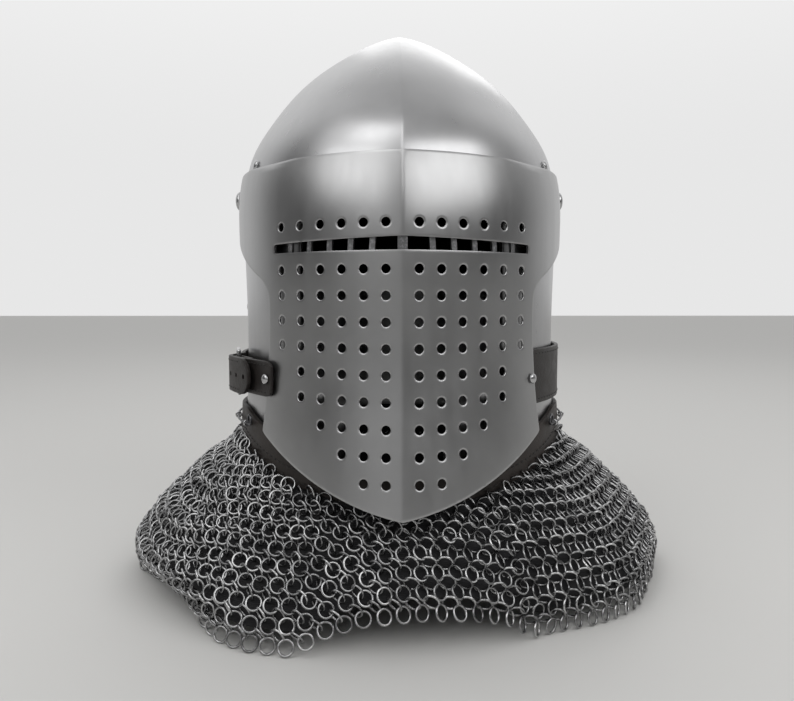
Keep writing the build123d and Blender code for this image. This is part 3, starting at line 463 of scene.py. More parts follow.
def prism(name, layers, distance=weld):
    # a solid between two layers of the same outline
    count = len(layers[0])
    faces = [list(range(count)), list(range(2 * count - 1, count - 1, -1))]
    faces += [[i, i + count, (i + 1) % count + count, (i + 1) % count] for i in range(count)]
    points = [Vector(point) * mm for layer in layers for point in layer]
    return merged(meshPiece(name, points, faces), distance, outward=True)


def joined(name, pieces):
    bpy.ops.object.select_all(action="DESELECT")
    for piece in pieces:
        piece.select_set(True)
    bpy.context.view_layer.objects.active = pieces[0]
    if len(pieces) > 1:
        bpy.ops.object.join()
    made = bpy.context.object
    made.name = name
    return made


def seated(piece, place, normal):
    # carries a mesh made about the origin to its place in millimetres, its own Z along the normal
    turn = Vector(normal).to_track_quat("Z", "Y").to_matrix().to_4x4()
    piece.data.transform(Matrix.Translation(Vector(place) * mm) @ turn)
    return piece


def cutBy(piece, cutters):
    for cutter in cutters:
        applied(piece, "BOOLEAN", object=cutter, operation="DIFFERENCE", solver="EXACT")
        bpy.data.objects.remove(cutter)
    return smoothed(piece, "leather")


def fitted(piece, name, body, finish, slot, *nodes):
    piece.name = name
    piece.data.name = name
    piece.data.materials.clear()
    piece.data.materials.append(finishes[finish])
    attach(piece, body)
    if nodes:
        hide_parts(*nodes)
    return piece


skullCut = {"top": 235.0, "half": 57.0, "cheek": 155.0, "throat": 100.0, "throatHalf": 23.0,
            "corners": (0.001, 12.0, 20.0, 23.0), "cutDepths": (-20.0, -300.0), "edgeRound": 0.3,
            # the grid crowds its columns at the ridge and its rows at the point
            "columns": 160, "rows": 84, "ridgeReach": 0.16, "ridgeShare": 0.7, "crowding": 1.25,
            "edgeSteps": 12}


def edgeHeight(depth):
    # lower edge of the skull: level behind, sloping down forward under the chin
    slope = (helm["chinEdge"] - helm["napeEdge"]) / (helm["front"] - helm["edgeTurn"])
    return helm["napeEdge"] + slope * max(0.0, -depth - helm["edgeTurn"])


def lowestAt(formAt, turn):
    height = helm["napeEdge"]
    for step in range(skullCut["edgeSteps"]):
        height = edgeHeight(formPoint(formAt, turn, height).y)
    return height


def roundTurn(share):
    # a share of the way round, from the nape by the left side and the ridge
    return (share - 0.5) * 2 * math.pi


def makeSkull():
    top = helm["brow"] + helm["rise"]

    def pointAt(share, climb):
        turn = roundTurn(share)
        turn *= 1 - skullCut["ridgeShare"] * math.exp(-(turn / skullCut["ridgeReach"]) ** 2)
        low = lowestAt(skullAt, turn)
        height = low + (top - low) * (1 - (1 - climb) ** skullCut["crowding"])
        return formPoint(skullAt, turn, min(height, top)) * mm

    shell = gridPiece("skullShell", skullCut["columns"], skullCut["rows"], pointAt, wrap=True)
    applied(shell, "SOLIDIFY", thickness=helm["plate"] * mm, offset=-1.0, use_even_offset=False)
    throat, half = skullCut["throatHalf"], skullCut["half"]
    window = roundedPath([(0.0, 0.0), (throat, 0.0), (throat, skullCut["throat"]),
                          (half, skullCut["cheek"]), (half, skullCut["top"]), (0.0, skullCut["top"])],
                         skullCut["corners"])
    right = [(p.x, p.y) for p in window[1:]]
    outline = right + [(-x, z) for x, z in reversed(right[:-1])]
    cutter = prism("faceCutter", [[(x, y, z) for x, z in outline] for y in skullCut["cutDepths"]])
    applied(shell, "BOOLEAN", object=cutter, operation="DIFFERENCE", solver="EXACT")
    bpy.data.objects.remove(cutter)
    edgesRounded(shell, skullCut["edgeRound"], 2)
    smoothed(shell, "plate")
    fitted(shell, "skull_shell", "helm", "plate", "polished_steel", "skull")


makeSkull()
print("skull made")


def holeCentres():
    centres = []
    for column in range(visor["browHoles"]):
        centres.append((visor["holeFirst"] + visor["holePitch"] * column, visor["browRow"]))
    for row, count in enumerate(visor["rows"]):
        for column in range(count):
            centres.append((visor["holeFirst"] + visor["holePitch"] * column,
                            visor["topRow"] - visor["rowPitch"] * row))
    return centres


def flatPlace(across, height):
    return Vector((turnAtAcross(visorAt, across, height) * visor["flatScale"], height))


def flatForm(place):
    return formPoint(visorAt, place.x / visor["flatScale"], place.y)


def flatRing(centre, radius):
    # a circle on the plate, carried into the flat
    step = visor["probe"]
    alongU, alongV = [(flatForm(centre + way) - flatForm(centre - way)) / (2 * step)
                      for way in (Vector((step, 0)), Vector((0, step)))]
    side = alongU.normalized()
    up = alongU.cross(alongV).normalized().cross(side)
    ring = []
    for i in range(visor["holeSides"]):
        angle = 2 * math.pi * i / visor["holeSides"]
        offset = side * (radius * math.cos(angle)) + up * (radius * math.sin(angle))
        v = offset.dot(up) / alongV.dot(up)
        u = (offset.dot(side) - v * alongV.dot(side)) / alongU.length
        ring.append(centre + Vector((u, v)))
    return ring


def visorOutline():
    # right half of the plate's edge in the flat, from the top of the ridge round to the tip
    brow, rear, lobe = helm["brow"], -visor["rear"], visor["lobe"]
    side = roundedPath([(-visor["browReach"], brow), (lobe, brow), (lobe, visor["pivotHeight"] - lobe),
                        (rear, visor["wingFront"]), (rear, visor["cornerHeight"])],
                       (*visor["lobeRounds"], visor["rearRound"]))
    path = [flatPlace(x, brow) for x in np.linspace(0.0, visor["browReach"], visor["browPoints"])]
    for depth, height in spread([Vector((p[0], p[1])) for p in side], visor["edgePitch"]):
        across = turnAtDepth(visorAt, depth, height) * visor["flatScale"]
        if across > path[-1].x or height < brow:
            path.append(Vector((across, height)))
    corner = Vector((visor["cornerHalf"], visor["cornerHeight"]))
    tip = Vector((0.0, visor["tip"]))
    normal = Vector((corner.y - tip.y, -(corner.x - tip.x))).normalized()
    for i in range(visor["lowerPoints"]):
        share = (i + 1) / visor["lowerPoints"]
        point = corner.lerp(tip, share) + normal * (4 * visor["sagitta"] * share * (1 - share))
        path.append(flatPlace(point.x, point.y))
    return path


def slitOutline():
    floor, half = visor["slitFloor"], visor["slitHalf"]
    side = roundedPath([(0.0, floor), (half, floor), (half, floor + visor["slitEnd"]),
                        (0.0, floor + visor["slitHeight"])], visor["slitRounds"])
    return [flatPlace(p.x, p.y) for p in spread(side, visor["edgePitch"])]


def bothHalves(right):
    return right + [Vector((-p.x, p.y)) for p in reversed(right[1:-1])]


def besideLoop(loop, inwards):
    # the same closed outline one step further in or out
    def moved(distance):
        points = []
        for before, here, after in zip(loop[-1:] + loop[:-1], loop, loop[1:] + loop[:1]):
            along = (here - before).normalized() + (after - here).normalized()
            points.append(here + Vector((-along.y, along.x)).normalized() * distance)
        return points
    toLeft = moved(visor["edgeLoop"])
    return toLeft if within(toLeft[visor["testPoint"]], loop) == inwards else moved(-visor["edgeLoop"])


def within(point, loop):
    inside = False
    for a, b in zip(loop, loop[1:] + loop[:1]):
        if (a.y > point.y) != (b.y > point.y):
            if point.x < (b.x - a.x) * (point.y - a.y) / (b.y - a.y) + a.x:
                inside = not inside
    return inside


def nearestOf(spots, place):
    return float(np.min(np.linalg.norm(spots - np.array((place.x, place.y)), axis=1)))


def makeVisor():
    # the plate is laid out flat, filled with triangles, and then carried onto its form
    outline, slit = bothHalves(visorOutline()), bothHalves(slitOutline())
    centres = [flatPlace(x, z) for x, z in holeCentres()]
    centres += [Vector((-c.x, c.y)) for c in centres]
    points, edges, depths = [], [], []

    def addPoints(spots, depth=0.0):
        points.extend(spots)
        depths.extend([depth] * len(spots))

    def addLoop(loop, depth=0.0):
        start = len(points)
        addPoints(loop, depth)
        edges.extend([(start + i, start + (i + 1) % len(loop)) for i in range(len(loop))])

    addLoop(outline)
    addLoop(slit)
    beside = besideLoop(outline, True) + besideLoop(slit, False)
    addPoints(beside)
    band = visor["rimRadius"] + visor["rimBand"]
    for centre in centres:
        addLoop(flatRing(centre, visor["holeRadius"]), visor["rimDepth"])
        addLoop(flatRing(centre, visor["rimRadius"]))
        addLoop(flatRing(centre, band))
    step = visor["grid"]
    border = np.array([(p.x, p.y) for p in outline + slit + beside])
    middles = np.array([(c.x, c.y) for c in centres])
    columns = [0.0, visor["ridge"], 2 * visor["ridge"]] + list(np.arange(step, visor["flatReach"], step))
    for x in sorted(set([-c for c in columns] + columns)):
        for z in np.arange(visor["tip"] + visor["gridStart"] * step, helm["brow"], step):
            spot = Vector((x, z))
            if nearestOf(middles, spot) < band + visor["holeClear"] * step:
                continue
            if nearestOf(border, spot) < visor["edgeClear"] * step:
                continue
            if within(spot, outline) and not within(spot, slit):
                addPoints([spot])
    flat, links, faces, fromPoint = delaunay_2d_cdt(points, edges, [], 0, visor["tolerance"])[:4]
    sunk = [max([depths[i] for i in origin], default=0.0) for origin in fromPoint]
    kept = []
    for face in faces:
        middle = sum((flat[i] for i in face), Vector((0.0, 0.0))) / len(face)
        inHole = nearestOf(middles, middle) < visor["holeRadius"] + visor["holeReach"]
        if inHole and all(sunk[i] > 0 for i in face):
            continue
        if within(middle, outline) and not within(middle, slit):
            kept.append(list(face))
    placed = []
    for spot, depth in zip(flat, sunk):
        onRidge = abs(spot.x) < visor["nearRidge"]
        if onRidge:
            depth += visor["ridgeSink"]  # the ridge is broken by a stroke of the file
        turn = 0.0 if onRidge else spot.x / visor["flatScale"]
        placed.append((flatForm(spot) - formNormal(visorAt, turn, spot.y) * depth) * mm)
    plate = meshPiece("visorPlate", placed, kept)
    only(plate)
    bpy.ops.object.mode_set(mode="EDIT")
    bpy.ops.mesh.select_all(action="SELECT")
    bpy.ops.mesh.delete_loose()
    bpy.ops.mesh.select_all(action="SELECT")
    bpy.ops.mesh.normals_make_consistent(inside=False)
    bpy.ops.object.mode_set(mode="OBJECT")
    if sum(p.normal.y for p in plate.data.polygons) > 0:
        plate.data.flip_normals()
    applied(plate, "SOLIDIFY", thickness=helm["plate"] * mm, offset=-1.0, use_even_offset=False)
    edgesRounded(plate, visor["edgeRound"], 2)
    smoothed(plate, "visor")
    fitted(plate, "visor_plate", "visor", "visorPlate", "polished_steel", "visor")


makeVisor()
print("visor made")


band = {"out": 0.5, "thickness": 2.8, "width": 23.0, "columns": 150, "rows": 6, "edgeRound": 0.6,
        "stitchPitch": 4.4, "stitch": 3.0, "threadRadius": 0.38, "stitchRows": (3.0, 9.0), "probe": 0.01}

mail = {
    "top": 100.0, "side": 174.0, "front": 151.3, "back": 148.0, "fold": 3.0, "folds": 8,
    "neckShare": 0.97, "neckHeight": 0.87, "seat": band["out"] + band["thickness"] + 2.7, "lap": 3.5,
    "drawIn": 14.0, "drawnGap": 1.8,
    # height share of the top, then shares of side, front, back and fold
    "form": [(0.0, 1.0, 1.0, 1.0, 1.0), (0.08, 1.004, 0.992, 1.0, 1.0), (0.18, 1.008, 0.978, 0.994, 1.0),
             (0.30, 0.978, 0.95, 0.975, 0.95), (0.42, 0.926, 0.912, 0.95, 0.85),
             (0.53, 0.872, 0.878, 0.925, 0.7), (0.64, 0.808, 0.832, 0.895, 0.5),
             (0.75, 0.742, 0.813, 0.865, 0.3)],
    # bearing and spread in degrees, reach out, height and its spread
    "swells": [(-27.0, 15.0, 13.0, 0.0, 42.0), (-68.0, 17.0, 8.0, 32.0, 40.0),
               (-54.0, 17.0, -22.0, 0.0, 15.0), (33.0, 13.0, -6.0, 0.0, 30.0)],
    "roll": 2.2, "rollPitch": 21.0, "rollBearing": -62.0, "rollWidth": 26.0,
    "hemLift": 18.0, "hemHalf": 60.0, "hemAcross": 8.0, "ground": 0.9,
    "ringsRound": 112, "rowPitch": 4.95, "ringRadius": 4.05, "wire": 0.68, "inset": 1.2,
    # yaw, lean and depth of the open rows and of the rows that link them
    "open": (24.0, -8.0, 0.5), "link": (-36.0, 44.0, -0.7), "segments": 18, "sides": 6, "sectors": 6,
    # the hem's arch, and the steps and reaches by which places along the mail are found
    "hemProbe": 5.0, "hemPower": 0.7, "topProbe": 95.0, "columnSteps": 44,
    "acrossReach": 0.002, "upReach": 0.6,
    # the lowest row's height in rows, and how far past the top a ring may stand
    "firstRow": 0.75, "overTop": 0.5,
    # seed, then the spreads of lean, yaw, depth, place and size, and the lowest point of a ring
    "seed": 7, "leanSpread": 5, "yawSpread": 8, "depthSpread": 0.25, "placeSpread": 0.2,
    "sizeSpread": 0.012, "floorGap": 0.1,
}


def mailTable():
    neck = skullRows[1]
    reach = np.array([neck[0], neck[1], neck[2]]) + mail["seat"]
    hem = np.array([mail["side"], mail["front"], mail["back"]])
    heights, rows = [], []
    for height, side, front, back, fold in mail["form"]:
        heights.append(height * mail["top"])
        rows.append(np.array([side * hem[0], front * hem[1], back * hem[2], fold * mail["fold"]]))
    near = hem + mail["neckShare"] * (reach - hem)
    heights += [mail["neckHeight"] * mail["top"], mail["top"]]
    rows += [np.array([*near, 0.0]), np.array([*reach, 0.0])]
    return splineThrough(heights, rows)


mailAt = mailTable()


def mailSwell(height, turn):
    bearing = math.degrees(math.remainder(turn, 2 * math.pi))
    swell = 0.0
    for middle, width, reach, level, rise in mail["swells"]:
        swell += reach * math.exp(-((bearing - middle) / width) ** 2 - ((height - level) / rise) ** 2)
    fade = math.exp(-((bearing - mail["rollBearing"]) / mail["rollWidth"]) ** 2)
    fade *= math.sin(math.pi * max(0.0, min(1.0, height / mail["top"])))
    return swell + mail["roll"] * fade * math.sin(2 * math.pi * height / mail["rollPitch"])


def mailForm(share, height):
    side, front, back, fold = mailAt(height)
    turn = 2 * math.pi * share
    across, along = math.sin(turn), math.cos(turn)
    out = fold * math.cos(mail["folds"] * turn) + mailSwell(height, turn) - mail["inset"]
    if along < 0:
        return Vector(((side + out) * across, -(back + out) * along, height))
    keel = helm["keel"] * eased(height / helm["napeEdge"])
    ahead = (front + out - keel) * along + keel * (1 - abs(across)) ** helm["keelPower"]
    return Vector(((side + out) * across, -ahead, height))


def mailTop(share):
    return edgeHeight(mailForm(share, mail["topProbe"]).y) + mail["lap"]


@functools.lru_cache(maxsize=None)
def neckFit(share):
    # where the mail ends, and the way and distance that it is drawn in there to lie on the leather
    top, turn = mailTop(share), math.remainder(2 * math.pi * share, 2 * math.pi)
    normal = formNormal(skullAt, turn, top)
    normal = Vector((normal.x, normal.y, 0.0)).normalized()
    stand = (mailForm(share, top) - formPoint(skullAt, turn, top)).dot(normal)
    return top, normal * max(0.0, stand - band["out"] - band["thickness"] - mail["drawnGap"])


def mailPoint(share, height):
    top, draw = neckFit(round(share % 1.0, 3))
    return mailForm(share, height) - draw * eased(1 + (height - top) / mail["drawIn"])


def hemHeight(share):
    # the hem hangs clear of the ground across the front and lies on it elsewhere
    across = abs(mailPoint(share, mail["hemProbe"]).x - mail["hemAcross"])
    if math.cos(2 * math.pi * share) < 0 or across > mail["hemHalf"]:
        return mail["ground"]
    return mail["ground"] + mail["hemLift"] * (1 - (across / mail["hemHalf"]) ** 2) ** mail["hemPower"]


def runsAlong(path):
    # the running length at each point of a path
    runs = [0.0]
    for a, b in zip(path, path[1:]):
        runs.append(runs[-1] + (b - a).length)
    return runs


def placeAlong(path, runs, run):
    return Vector([float(np.interp(run, runs, [p[i] for p in path])) for i in range(3)])


@functools.lru_cache(maxsize=None)
def columnRun(share):
    # heights and running lengths up one column from the hem
    heights = np.linspace(hemHeight(share), mailTop(share), mail["columnSteps"])
    return heights, runsAlong([mailPoint(share, h) for h in heights])


def ringShape():
    major, minor = mail["segments"], mail["sides"]
    points, faces = [], []
    for i in range(major):
        for j in range(minor):
            a, b = 2 * math.pi * i / major, 2 * math.pi * j / minor
            r = mail["ringRadius"] + mail["wire"] * math.cos(b)
            points.append((r * math.cos(a), r * math.sin(a), mail["wire"] * math.sin(b)))
            faces.append((i * minor + j, (i + 1) % major * minor + j,
                          (i + 1) % major * minor + (j + 1) % minor, i * minor + (j + 1) % minor))
    return np.array(points), np.array(faces)


def ringPlaces():
    # rows are counted up from the hem and end where the leather starts
    count = mail["ringsRound"]
    places = []
    for index in range(2 * count):
        share = index / (2 * count)
        heights, runs = columnRun(share)
        row = index % 2
        while (run := (row + mail["firstRow"]) * mail["rowPitch"]) < runs[-1] + mail["overTop"]:
            places.append((row, share, float(np.interp(run, runs, heights))))
            row += 2
    return places


def ringFrame(share, height):
    aside, rise = mail["acrossReach"], mail["upReach"]
    along = (mailPoint(share + aside, height) - mailPoint(share - aside, height)).normalized()
    up = (mailPoint(share, height + rise) - mailPoint(share, height - rise)).normalized()
    return mailPoint(share, height), along, up, along.cross(up).normalized()


def makeMail():
    # every other row lies open to the front, and the rows between are turned to link them
    chance = random.Random(mail["seed"])
    shape, shapeFaces = ringShape()
    sectors = [[] for i in range(mail["sectors"])]
    for row, share, height in ringPlaces():
        point, along, up, normal = ringFrame(share, height)
        yaw, lean, out = mail["link" if row % 2 else "open"]
        lean = math.radians(lean + chance.gauss(0, mail["leanSpread"]))
        yaw = math.radians(yaw + chance.gauss(0, mail["yawSpread"]))
        turned = Matrix.Rotation(yaw, 3, up) @ Matrix.Rotation(lean, 3, along)
        face = turned @ normal
        side = (turned @ along).normalized()
        other = face.cross(side).normalized()
        spin = chance.uniform(0, 2 * math.pi)
        basis = np.array([side * math.cos(spin) + other * math.sin(spin),
                          other * math.cos(spin) - side * math.sin(spin), face])
        shift = normal * (out + chance.gauss(0, mail["depthSpread"]))
        shift += along * chance.gauss(0, mail["placeSpread"]) + up * chance.gauss(0, mail["placeSpread"])
        ring = shape @ basis * (1 + chance.gauss(0, mail["sizeSpread"])) + np.array(point + shift)
        ring[:, 2] += max(0.0, mail["floorGap"] - ring[:, 2].min())
        sectors[int(share * mail["sectors"]) % mail["sectors"]].append((ring, chance.random()))
    for number, rings in enumerate(sectors):
        points = np.concatenate([ring for ring, tone in rings]) * mm
        faces = np.concatenate([shapeFaces + i * len(shape) for i in range(len(rings))])
        piece = meshPiece("mail_rings_%d" % (number + 1), points.tolist(), faces.tolist())
        shade = piece.data.attributes.new("ringTone", "FLOAT", "POINT")
        shade.data.foreach_set("value", np.repeat([tone for ring, tone in rings], len(shape)))
        smoothed(piece, "wire")
        fitted(piece, piece.name, "helm", "mail", "mail_steel", "aventail_mail")
    print("rings", sum(len(rings) for rings in sectors))


wireLook = {"grime": (300.0, 3.0, 0.6), "toneShare": 0.6, "grimeShare": 0.4, "bright": 0.14, "dulled": 0.20,
            "colours": [(0.2, (0.20, 0.20, 0.202)), (0.6, (0.40, 0.40, 0.403)), (0.95, (0.68, 0.68, 0.68))]}


def mailSteel():
    look = wireLook
    steel = Finish("mailWire", Metallic=1.0)
    tone = steel.node("Attribute", {"attribute_name": "ringTone"}, output=2)
    grime = steel.noise(*look["grime"])
    level = tone * look["toneShare"] + grime * look["grimeShare"]
    steel.set("Base Color", steel.colours(level, look["colours"]))
    steel.set("Roughness", (look["bright"] + grime * look["dulled"]).clamped())
    return steel.material


finishes["mail"] = mailSteel()
makeMail()
print("mail made")

# the near-black sheet behind the rings is painted shade for the dark inside of the mail
lining = {"inset": 5.4, "above": 11.0, "below": 0.4, "free": 0.6, "columns": 180, "rows": 16, "thick": 0.7,
          "flat": (1.0, 0.105), "area": 0.0747}


clothLook = {"roughness": 0.95, "weft": 380.0, "weftWaver": 0.6, "patches": (40.0, 4.0, 0.6), "pale": 1.7,
             "relief": 0.6, "depth": 0.0004, "depthShare": 0.5}


def darkCloth(name, colour):
    look = clothLook
    cloth = Finish(name, Roughness=look["roughness"])
    weft = cloth.node("TexWave", {"bands_direction": "Z"}, Vector=cloth.place(), Scale=look["weft"],
                      Distortion=look["weftWaver"])
    patches = cloth.noise(*look["patches"])
    cloth.set("Base Color", cloth.mix(patches, colour, tuple(c * look["pale"] for c in colour)))
    cloth.bump(weft * look["relief"] + patches * look["relief"], look["depth"], look["depthShare"])
    return cloth.material


def makeShadeLining():
    # painted shade: a near-black cloth sheet hangs behind the rings, so that the gaps between them are
    # black as shade
    def pointAt(share, climb):
        heights, runs = columnRun(share)
        foot = float(np.interp(lining["above"], runs, heights))
        turn = math.remainder(2 * math.pi * share, 2 * math.pi)
        head = lowestAt(skullAt, turn) - lining["below"]
        height = foot + (head - foot) * climb
        point, along, up, normal = ringFrame(share, height)
        hung = point - normal * (lining["inset"] - mail["inset"])
        sewn = outFrom(skullAt, turn, head, band["out"] + band["thickness"] / 2)
        return hung.lerp(sewn, eased((climb - lining["free"]) / (1 - lining["free"]))) * mm

    sheet = gridPiece("shadeLiningSheet", lining["columns"], lining["rows"], pointAt, wrap=True)
    smoothed(walled(sheet, lining["thick"], 0.0), "leather")
    fitted(sheet, "mail_shade_lining", "helm", "cloth", "liner_cloth")
    print("lining area", sum(face.area for face in sheet.data.polygons) / 2)


# near-black painted shade for the sheet behind the rings
finishes["cloth"] = darkCloth("paintedShadeLinen", (0.012, 0.012, 0.013))
makeShadeLining()
print("lining made")


def makeBand():
    def pointAt(share, climb):
        turn = roundTurn(share)
        low = lowestAt(skullAt, turn)
        return outFrom(skullAt, turn, low + climb * band["width"], band["out"]) * mm

    strip = gridPiece("bandStrip", band["columns"], band["rows"], pointAt, wrap=True)
    edgesRounded(walled(strip, band["thickness"]), band["edgeRound"])
    smoothed(strip, "leather")
    fitted(strip, "aventail_band_leather", "helm", "leather", "leather", "aventail_band")


stitching = {"sides": 6, "rise": 0.05, "weld": 0.002,
             # share of the length along a stitch, share of its radius there
             "stations": [(-0.5, 0.0), (-0.42, 0.7), (-0.25, 1.0), (0.25, 1.0), (0.42, 0.7), (0.5, 0.0)]}


def capsule(length, radius):
    # a short rod with rounded ends along X
    sides, stations = stitching["sides"], stitching["stations"]
    points, faces = [], []
    for along, fat in stations:
        for j in range(sides):
            a = 2 * math.pi * j / sides
            points.append((along * length, radius * fat * math.cos(a), radius * fat * math.sin(a)))
    for i in range(len(stations) - 1):
        for j in range(sides):
            k = (j + 1) % sides
            faces.append((i * sides + j, i * sides + k, (i + 1) * sides + k, (i + 1) * sides + j))
    return np.array(points), np.array(faces)


def stitchRow(name, places, length, radius, body):
    # one stitch is made once and laid along the seam again and again
    shape, shapeFaces = capsule(length, radius)
    points, faces = [], []
    for count, (spot, along, normal) in enumerate(places):
        along = along.normalized()
        across = normal.cross(along).normalized()
        basis = np.array([along, across, along.cross(across)])
        points.append(shape @ basis + np.array(spot))
        faces.append(shapeFaces + count * len(shape))
    piece = meshPiece(name, (np.concatenate(points) * mm).tolist(), np.concatenate(faces).tolist())
    smoothed(merged(piece, stitching["weld"], outward=True), "wire")
    fitted(piece, name, body, "thread", "leather")


def bandStitches():
    places = []
    out = band["out"] + band["thickness"] + stitching["rise"]

    def seamAt(turn, rise):
        return outFrom(skullAt, turn, lowestAt(skullAt, turn) + rise, out)

    for rise in band["stitchRows"]:
        turn = -math.pi
        while turn < math.pi:
            spot = seamAt(turn, rise)
            onward = seamAt(turn + band["probe"], rise) - spot
            places.append((spot, onward, formNormal(skullAt, turn, lowestAt(skullAt, turn) + rise)))
            turn += band["probe"] * band["stitchPitch"] / onward.length
    stitchRow("band_stitches", places, band["stitch"], band["threadRadius"], "helm")


thread = Finish("waxedThread", Roughness=0.6)
thread.set("Base Color", (0.012, 0.011, 0.010, 1.0))
finishes["thread"] = thread.material
makeBand()
bandStitches()
print("band made")


def rod(place, along, radius, length, sides=24):
    bpy.ops.object.select_all(action="DESELECT")
    bpy.ops.mesh.primitive_cylinder_add(vertices=sides, radius=radius * mm, depth=length * mm)
    return seated(bpy.context.object, place, along)


# each rivet is given as head radius, dome height, shank radius and grip
riveting = {"tailShare": 1.5, "tailHeight": 0.8, "tailRound": 0.36, "ballSegments": 28, "ballRings": 16,
            "shankSides": 20, "small": (3.0, 1.5, 1.5)}


def domeRivet(head, dome, shank, grip):
    # half a ball, flattened, on a shank whose far end is hammered over
    bpy.ops.object.select_all(action="DESELECT")
    bpy.ops.mesh.primitive_uv_sphere_add(segments=riveting["ballSegments"], radius=head * mm,
                                         ring_count=riveting["ballRings"])
    ball = bpy.context.object
    bpy.ops.object.mode_set(mode="EDIT")
    bpy.ops.mesh.select_all(action="SELECT")
    bpy.ops.mesh.bisect(plane_co=(0, 0, 0), plane_no=(0, 0, 1), use_fill=True, clear_inner=True)
    bpy.ops.mesh.select_all(action="SELECT")
    bpy.ops.transform.resize(value=(1, 1, dome / head))
    bpy.ops.object.mode_set(mode="OBJECT")
    up, sides, tail = (0, 0, 1), riveting["shankSides"], riveting["tailHeight"]
    stem = rod((0, 0, -grip / 2), up, shank, grip, sides)
    end = rod((0, 0, -grip - tail / 2), up, shank * riveting["tailShare"], tail, sides)
    applied(end, "BEVEL", width=riveting["tailRound"] * mm, segments=3, limit_method="ANGLE")
    return smoothed(joined("rivet", [ball, stem, end]), "plate")


def copied(piece):
    twin = piece.copy()
    twin.data = piece.data.copy()
    bpy.context.scene.collection.objects.link(twin)
    return twin


def rivetSet(name, seats, sizes, body, node):
    base = domeRivet(*sizes)
    made = [seated(copied(base), place, normal) for place, normal in seats]
    bpy.data.objects.remove(base)
    fitted(joined(name, made), name, body, "rivet", "polished_steel", node)


def mirrored(point):
    return Vector((-point[0], point[1], point[2]))


def bothSides(seat):
    return [seat, tuple(mirrored(v) for v in seat)]


linerRivets = {"height": 263.0, "seat": 0.05, "head": 3.0, "shank": 1.5, "grip": 4.75,
               "heads": [("liner_rivet_heads", (60.0, 122.0, 150.0, 180.0), 1.25),
                         ("liner_rivets_flat", (94.0,), 0.45)]}
chin = {"height": 176.0, "setback": 4.0, "width": 20.0, "thickness": 2.4, "lap": 9.0, "buckleDrop": 52.0,
        "longDrop": 128.0, "bar": 1.2, "holeRadius": 1.6, "holePitch": 12.0, "holes": 5, "round": 6.7,
        "rivet": (4.0, 1.8, 1.6, 5.8), "cutter": 8.0, "slot": (30.0, 4.2, 14.0), "columnPitch": 2.5,
        "rows": 6, "edgeRound": 0.6, "endShare": 0.6, "endLeast": 0.12, "weld": 0.0001, "fewest": 10,
        "longSteps": 30, "shortSteps": 24, "bendSteps": 12, "tailSteps": 8}
pivotRivet = (6.5, 3.2, 3.0, 6.1)


def makeRivets():
    # the pair beside the pivots is hammered flatter, so that the raised visor clears it
    height = linerRivets["height"]
    for name, bearings, dome in linerRivets["heads"]:
        seats = []
        for bearing in bearings:
            turn = math.radians(bearing)
            place = outFrom(skullAt, turn, height, linerRivets["seat"]), formNormal(skullAt, turn, height)
            seats += [place] if bearing == 180.0 else bothSides(place)
        sizes = linerRivets["head"], dome, linerRivets["shank"], linerRivets["grip"]
        rivetSet(name, seats, sizes, "helm", "liner_rivets")
    for side, node in ((1, "visor_pivot_right"), (-1, "visor_pivot_left")):
        low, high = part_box(node)
        reach = max(abs(low.x), abs(high.x)) / mm - pivotRivet[1]
        seat = (Vector((side * reach, 0, visor["pivotHeight"])), Vector((side, 0, 0)))
        rivetSet(node + "_dome", [seat], pivotRivet, "helm", node)
    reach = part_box("chin_rivets")[1].x / mm - chin["rivet"][1]
    seats = bothSides((Vector((reach, chin["setback"], chin["height"])), Vector((1, 0, 0))))
    rivetSet("chin_rivet_heads", seats, chin["rivet"], "helm", "chin_rivets")


makeRivets()
print("rivets made")

closing = {
    "height": 135.0, "width": 33.0, "tailWidth": 22.0, "thickness": 2.5, "rest": 1.8, "visorGap": 1.2,
    "rightEnd": 40.5, "tailEnd": 50.0, "visorEdge": 47.0, "liftStart": 77.0, "taper": (120.0, 92.0),
    "bar": 1.4, "barBearing": 66.0, "farBearing": 76.3, "softGap": 0.5,
    "holes": (63.8, 58.3, 52.8), "holeRadius": 1.5, "cutter": 14.0, "rows": 8,
    # stitches: pitch, length, radius, distance from the edge, and where they start and end
    "stitchPitch": 4.2, "stitch": 2.9, "threadRadius": 0.34, "stitchInset": 2.6, "seam": (9.0, 12.0),
    # bearing steps of the two halves, and how the ends are rounded
    "rightStep": 1.5, "leftStep": 1.0, "tipLeast": 0.02, "tipShare": 0.92, "startRun": 5.0,
    "startShare": 0.86, "standReach": 60.0, "standSteps": 26, "nearlyAll": 0.9999,
}
chape = {"height": 21.0, "thickness": 2.0, "gap": 1.3, "start": 41.0, "back": 55.0, "rivetBearing": 43.5,
         "slotSize": (20.0, 40.0, 4.2), "slotBack": 3.0, "overSteps": 22, "bendSteps": 12, "backSteps": 10,
         "endRun": 6.0, "endShare": 0.72, "rows": 6, "edgeRound": 0.6, "seam": (3.4, 4.0),
         "stitchPitch": 1.9, "stitch": 2.6, "threadRadius": 0.32, "stitchInset": 2.4, "probe": 0.5}


def turnedOut(bearing):
    # the level way out from the skull at the strap, on the right hand side
    normal = formNormal(skullAt, math.radians(bearing), closing["height"])
    normal.z = 0.0
    return normal.normalized()


def levelOut(bearing, out):
    return formPoint(skullAt, math.radians(bearing), closing["height"]) + turnedOut(bearing) * out


def visorStand(bearing):
    # how far the visor's outside stands beyond the skull at the strap, found by halving
    height = closing["height"]
    widest = visorAt(height)[0]
    near, far = 0.0, closing["standReach"]
    for step in range(closing["standSteps"]):
        middle = (near + far) / 2
        point = levelOut(bearing, middle)
        turn = turnAtAcross(visorAt, min(point.x, widest * closing["nearlyAll"]), height)
        if point.y > formPoint(visorAt, turn, height).y and point.x < widest:
            near = middle
        else:
            far = middle
    return near


def barOut():
    return closing["rest"] + closing["softGap"] + closing["thickness"] + chape["thickness"] + closing["bar"]


